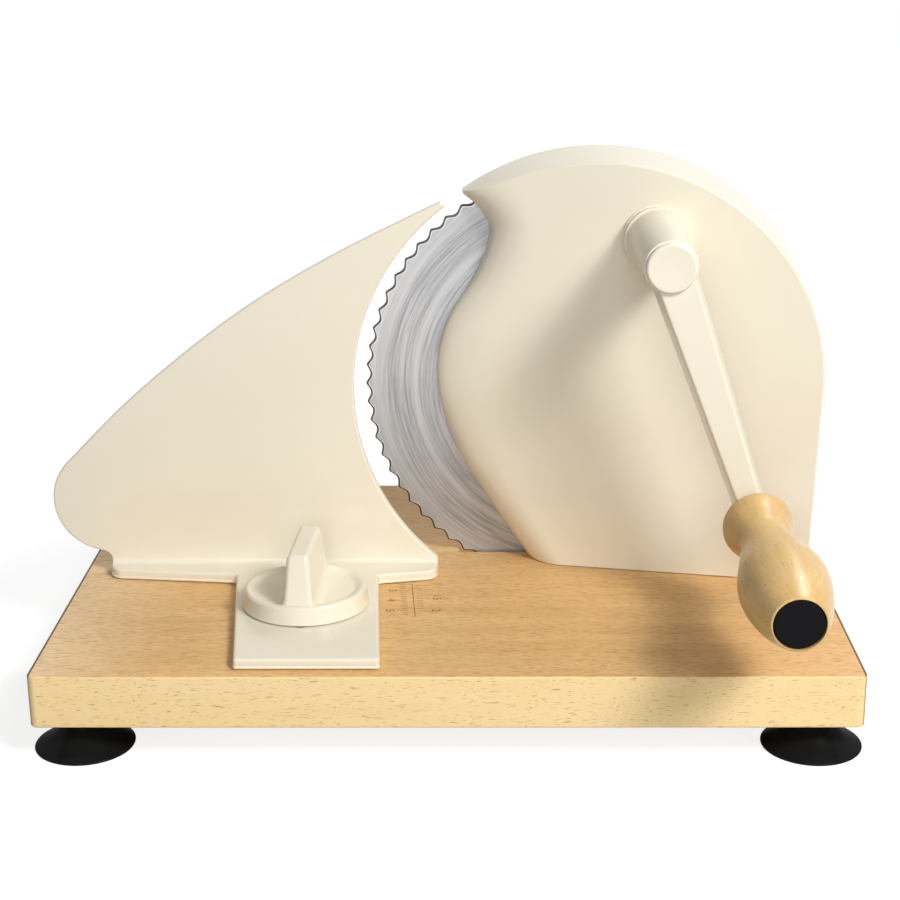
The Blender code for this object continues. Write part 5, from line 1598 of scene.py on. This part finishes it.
@dataclass
class StopPlate:
    """Cast stop: upright fin, filleted flange and slotted tongue."""

    fin_setback: float = 0.0976
    fin_thick: float = 0.0040
    fin_edge: float = 0.0008
    arc_centre: Point = (0.0530, 0.0740)
    arc_radius: float = 0.0893
    tip: Point = (-0.0022, 0.1473)
    arc_end: Point = (-0.0006, 0.1461)
    slope: tuple[Point, ...] = ((-0.0449, 0.1263), (-0.0819, 0.1039), (-0.1201, 0.0740))
    nose_centre: Point = (-0.1339, 0.0307)
    nose_radius: float = 0.0215
    nose_angles: Point = (math.radians(134), math.radians(258))
    notch: float = 0.0040
    thick: float = 0.0040
    edge: float = 0.0017
    under_edge: float = 0.0009
    left: float = -0.1338
    right: float = -0.0047
    corner: float = 0.0056
    flange_setbacks: Triple = (0.0900, 0.0843, 0.0876)
    tongue_front: float = 0.0050
    tongue_front_xs: Point = (-0.0740, -0.0226)
    tongue_back_xs: Point = (-0.0828, -0.0274)
    tongue_corner: float = 0.0015
    fillet: float = 0.0020
    fade: float = 0.0160
    parting: float = 0.0014
    parting_step: float = 0.00025
    travel_back: float = 0.0200
    travel_front: float = 0.0160
    slot_half: float = 0.0034

    def build(self) -> None:
        """Join the fin, the two halves of the flange and the fillet, and cut the slot."""
        front = setback(self.fin_setback)
        bottom, top = lift(SEAT), lift(SEAT + self.thick)
        fin = slab([(x, lift(z)) for x, z in self.fin_outline()], "Y", front,
                   front + self.fin_thick)
        outline = self.base_outline()
        upper = slab(inset(outline, -self.parting_step), "Z", bottom + self.parting / 2, top)
        lower = slab(outline, "Z", bottom, bottom + self.parting)
        bm = fused(soften(fin, self.fin_edge, 5), soften(upper, self.edge, 5),
                   soften(lower, self.under_edge), self.fillet_strip(front, top))
        near = (KNOB_AXIS.x, KNOB_AXIS.y - self.travel_back)
        far = (KNOB_AXIS.x, KNOB_AXIS.y + self.travel_front)
        slot = (arc(far, self.slot_half, 0, math.pi, 16)
                + arc(near, self.slot_half, math.pi, math.tau, 16))
        bm = cut(bm, slab(slot, "Z", 0, top + OVERSHOOT))
        piece("enamelled_stop", bm, Body.STOP, (ENAMEL,), ["stop_plate"], smooth=35.0)

    def fin_outline(self) -> list[Point]:
        """Upright of the stop, seen from the front.

        Returns:
            Its outline in world X and lift.
        """
        low = SEAT + self.thick / 2
        depth = math.sqrt(self.arc_radius ** 2 - (self.arc_centre[0] - self.right) ** 2)
        corner = math.atan2(-depth, self.right - self.arc_centre[0])
        end = math.atan2(self.arc_end[1] - self.arc_centre[1],
                         self.arc_end[0] - self.arc_centre[0])
        concave = arc(self.arc_centre, self.arc_radius, corner + math.tau, end, 72)
        nose = arc(self.nose_centre, self.nose_radius, *self.nose_angles, 30)
        upper = smooth_curve([self.tip, *self.slope, nose[0]], 14)
        notch = arc((self.left - self.notch, nose[-1][1] - SEAT - self.notch), self.notch,
                    QUARTER, 0, 6)
        return [(self.right, low), *concave, *upper[:-1], *nose, *notch, (self.left, low)]

    def base_outline(self) -> list[Point]:
        """Flange and tongue, seen from above.

        Returns:
            Their outline in world X and Y.
        """
        back = self.fin_setback + self.fin_thick
        left_y, middle_y, right_y = self.flange_setbacks
        turn, corner = self.tongue_corner, self.corner
        front = self.tongue_front + turn
        (front_left, front_right), (back_left, back_right) = (self.tongue_front_xs,
                                                              self.tongue_back_xs)
        left = [(self.left, back), *arc((self.left + corner, left_y + corner), corner, math.pi,
                                        math.radians(262), 12)]
        tongue = [(back_left - turn, middle_y + turn / 2), (back_left - turn * 0.3, middle_y),
                  (back_left, middle_y - turn),
                  *arc((front_left + turn, front), turn, math.radians(186), math.radians(270), 8),
                  *arc((front_right - turn, front), turn, math.radians(270), math.radians(357), 8),
                  (back_right, middle_y - turn), (back_right + turn * 0.3, middle_y - turn * 0.3),
                  (back_right + turn, middle_y)]
        right = [*arc((self.right - corner, right_y + corner), corner, math.radians(280), math.tau,
                      12), (self.right, back)]
        return [(x, setback(y)) for x, y in left + tongue + right]

    def fillet_strip(self, front: float, top: float) -> Mesh:
        """Fillet between fin and flange, which fades at its right end.

        Args:
            front: Y of the fin's front.
            top: Z of the flange's top.

        Returns:
            The fillet's solid.
        """
        margin = self.fin_edge / 2
        middle_y = front + self.fin_thick / 2
        rings = []
        for x, share in ((self.left + margin, 1.0), (self.right - self.fade, 1.0),
                         (self.right - self.fade * 0.6, 0.9), (self.right - self.fade * 0.3, 0.6),
                         (self.right - margin, 0.25)):
            radius = self.fillet * share
            curve = arc((front - radius, top + radius), radius, 0, -QUARTER, 12)
            section = [(middle_y, top - OVERSHOOT), (middle_y, top + radius), *curve,
                       (front - radius, top - OVERSHOOT)]
            rings.append([(x, y, z) for y, z in section])
        return skin(rings)


@dataclass
class ClampKnob:
    """Winged knob with a dished top."""

    radius: float = 0.0235
    top_radius: float = 0.0212
    disc_height: float = 0.0070
    dish: float = 0.0015
    dish_run: float = 0.0032
    soft: float = 0.0016
    foot_round: tuple[Point, ...] = ((0.0005, 0.0), (0.0001, 0.0002), (0.0, 0.0006))
    height: float = 0.0246
    turn: float = math.radians(-2.6)
    wing_top: Point = (0.0082, 0.0335)
    wing_base: Point = (0.0118, 0.0450)
    wing_round: float = 0.0018
    round_steps: int = 6
    flare: float = 0.0034
    well: Point = (0.0104, 0.0013)
    bore: Point = (0.0034, 0.0123)

    def build(self) -> None:
        """Make the knob and dress its stud and washer."""
        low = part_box("clamp_knob")[0].z
        bore = upright(rod(self.bore[0], low - OVERSHOOT, low + self.bore[1]))
        bm = cut(fused(self.disc(low), self.wing(low)), bore)
        piece("winged_knob", shifted(bm, x=KNOB_AXIS.x, y=KNOB_AXIS.y), Body.KNOB, (ENAMEL,),
              ["clamp_knob"], smooth=40.0)
        dress(ZINC, "clamp_stud", "clamp_washer")

    def disc(self, low: float) -> Mesh:
        """Flat cone with a round shoulder and a shallow dish.

        Args:
            low: Z of its underside.

        Returns:
            The disc round the Z axis.
        """
        top = low + self.disc_height
        shoulder = arc((self.top_radius, top - self.soft), self.soft, math.radians(15), QUARTER, 8)
        sink = [(self.top_radius - self.dish_run * share,
                 top - self.dish * (0.5 - 0.5 * math.cos(math.pi * share)))
                for share in (0.15, 0.3, 0.45, 0.6, 0.75, 0.9, 1.0)]
        well, roof = self.well[0], low + self.well[1]
        foot = [(self.radius - less, low + rise) for less, rise in self.foot_round]
        profile = [(0, roof), (well, roof), (well, low), *foot, *shoulder, *sink,
                   (0, top - self.dish)]
        return upright(revolve(profile, FINE_SIDES))

    def wing(self, low: float) -> Mesh:
        """Tapered wing that flares into the disc and has a round top edge.

        Args:
            low: Z of the knob's underside.

        Returns:
            The wing over the origin, turned a little.
        """
        dish = low + self.disc_height - self.dish
        top = low + self.height
        levels = [(low + self.disc_height * 0.4, 1.0)]
        levels += [(dish + self.flare * share, 1 - math.sqrt(1 - (1 - share) ** 2))
                   for share in (0.0, 0.03, 0.08, 0.15, 0.25, 0.37, 0.5, 0.65, 0.82, 1.0)]
        levels.append((top - self.wing_round, 0.0))
        sections = [(*self.halves(z - low, flare), self.wing_round, z) for z, flare in levels]
        half_x, half_y = self.halves(self.height, 0.0)
        for step in range(1, self.round_steps + 1):
            angle = QUARTER * step / self.round_steps
            less = self.wing_round * (1 - math.cos(angle))
            sections.append((half_x - less, half_y - less, self.wing_round - less * 0.8,
                             top - self.wing_round * (1 - math.sin(angle))))
        rings = [[(x, y, z) for x, y in round_corners(wide, long, radius, 6)]
                 for wide, long, radius, z in sections]
        return rotated(skin(rings), self.turn, "Z")

    def halves(self, rise: float, flare: float) -> Point:
        """Half width and half length of the wing.

        Args:
            rise: Height above the knob's underside.
            flare: Share of the flare at its foot.

        Returns:
            Both halves.
        """
        share = rise / self.height
        half_x, half_y = ((base + (top - base) * share) / 2
                          for base, top in zip(self.wing_base, self.wing_top))
        return half_x + self.flare * flare, half_y


@dataclass
class Studio:
    """Pale floor, soft lamps, white surroundings and the camera."""

    ground: float = -0.0136
    floor_half: float = 12.0
    floor_colour: Triple = (0.44, 0.44, 0.44)
    glow: Point = (0.80, 1.0)
    glow_reach: Point = (0.35, 1.3)
    fill: float = 0.03
    lamps: tuple[tuple[str, Triple, float, float], ...] = (
        ("key_light", (0.72, -0.84, 0.98), 0.42, 14.7),
        ("glint_light", (0.72, -0.84, 0.98), 0.12, 1.8),
        ("rear_glint_light", (0.50, 0.60, 1.10), 0.12, 1.1),
        ("front_light", (0.0, -1.40, 0.55), 0.60, 6.7),
        ("back_light", (0.50, 0.60, 1.10), 0.50, 4.2))
    lamp_aim: Triple = (0.0, 0.0, 0.07)
    lens: float = 70.94
    eye: Triple = (0.0143, -0.6592, 0.2777)
    pitch: float = math.radians(17.590)
    yaw: float = math.radians(-1.212)
    roll: float = math.radians(-0.557)

    def build(self) -> None:
        """Set the stage."""
        self.floor()
        self.surroundings()
        for lamp in self.lamps:
            self.lamp(*lamp)
        self.camera()
        bpy.context.scene.view_settings.view_transform = "Standard"

    def floor(self) -> None:
        """White sweep that keeps the object's shadow."""
        bm = bmesh.new()
        bmesh.ops.create_grid(bm, x_segments=1, y_segments=1, size=self.floor_half)
        item = stand_in(shifted(bm, z=self.ground))
        item.name = "floor"
        material = bpy.data.materials.new("pale_floor")
        material.use_nodes = True
        wires = Wiring(material.node_tree)
        glow = wires.span(wires.length(wires.placed()), *self.glow_reach, *self.glow)
        wires.feed(material.node_tree.nodes["Principled BSDF"], {
            "Base Color": (*self.floor_colour, 1.0), "Roughness": 0.9, "Specular IOR Level": 0.0,
            "Emission Color": (1.0, 1.0, 1.0, 1.0),
            "Emission Strength": wires.math("MULTIPLY", wires.seen(), glow)})
        item.data.materials.append(material)

    def surroundings(self) -> None:
        """World that is white where it is seen and gives a softer fill."""
        world = bpy.data.worlds.new("white_room")
        world.use_nodes = True
        bpy.context.scene.world = world
        wires = Wiring(world.node_tree)
        strength = wires.span(wires.seen(), 0.0, 1.0, self.fill, 1.0)
        wires.feed(world.node_tree.nodes["Background"], {0: (1.0, 1.0, 1.0, 1.0), 1: strength})

    def lamp(self, name: str, place: Triple, size: float, power: float) -> None:
        """Hang a square soft lamp that looks at the object.

        Args:
            name: Lamp name.
            place: Where it hangs.
            size: Side of its face.
            power: Watts.
        """
        light = bpy.data.lights.new(name, "AREA")
        light.size = size
        light.energy = power
        item = bpy.data.objects.new(name, light)
        item.location = place
        aim = Vector(self.lamp_aim) - Vector(place)
        item.rotation_euler = aim.to_track_quat("-Z", "Y").to_euler()
        bpy.context.scene.collection.objects.link(item)

    def camera(self) -> None:
        """Camera at the photograph's place and angle."""
        data = bpy.data.cameras.new("camera")
        data.lens = self.lens
        item = bpy.data.objects.new("camera", data)
        flat = math.cos(self.pitch)
        ahead = Vector((math.sin(self.yaw) * flat, math.cos(self.yaw) * flat,
                        -math.sin(self.pitch)))
        level = Vector((math.cos(self.yaw), -math.sin(self.yaw), 0.0))
        above = level.cross(ahead)
        right = math.cos(self.roll) * level + math.sin(self.roll) * above
        up = math.cos(self.roll) * above - math.sin(self.roll) * level
        turned = Matrix((right, up, -ahead)).transposed().to_4x4()
        turned.translation = Vector(self.eye)
        item.matrix_world = turned
        bpy.context.scene.collection.objects.link(item)
        bpy.context.scene.camera = item


def main() -> None:
    """Build every part of the picture in order."""
    logging.basicConfig(level=logging.INFO, format="%(name)s: %(message)s")
    for part in (Studio(), Board(), PrintedScale(), SuctionFeet(), Housing(), BladeSet(), Crank(),
                 Grip(), StopPlate(), ClampKnob()):
        part.build()
        LOG.info("%s done", type(part).__name__)


if __name__ == "__main__":
    main()
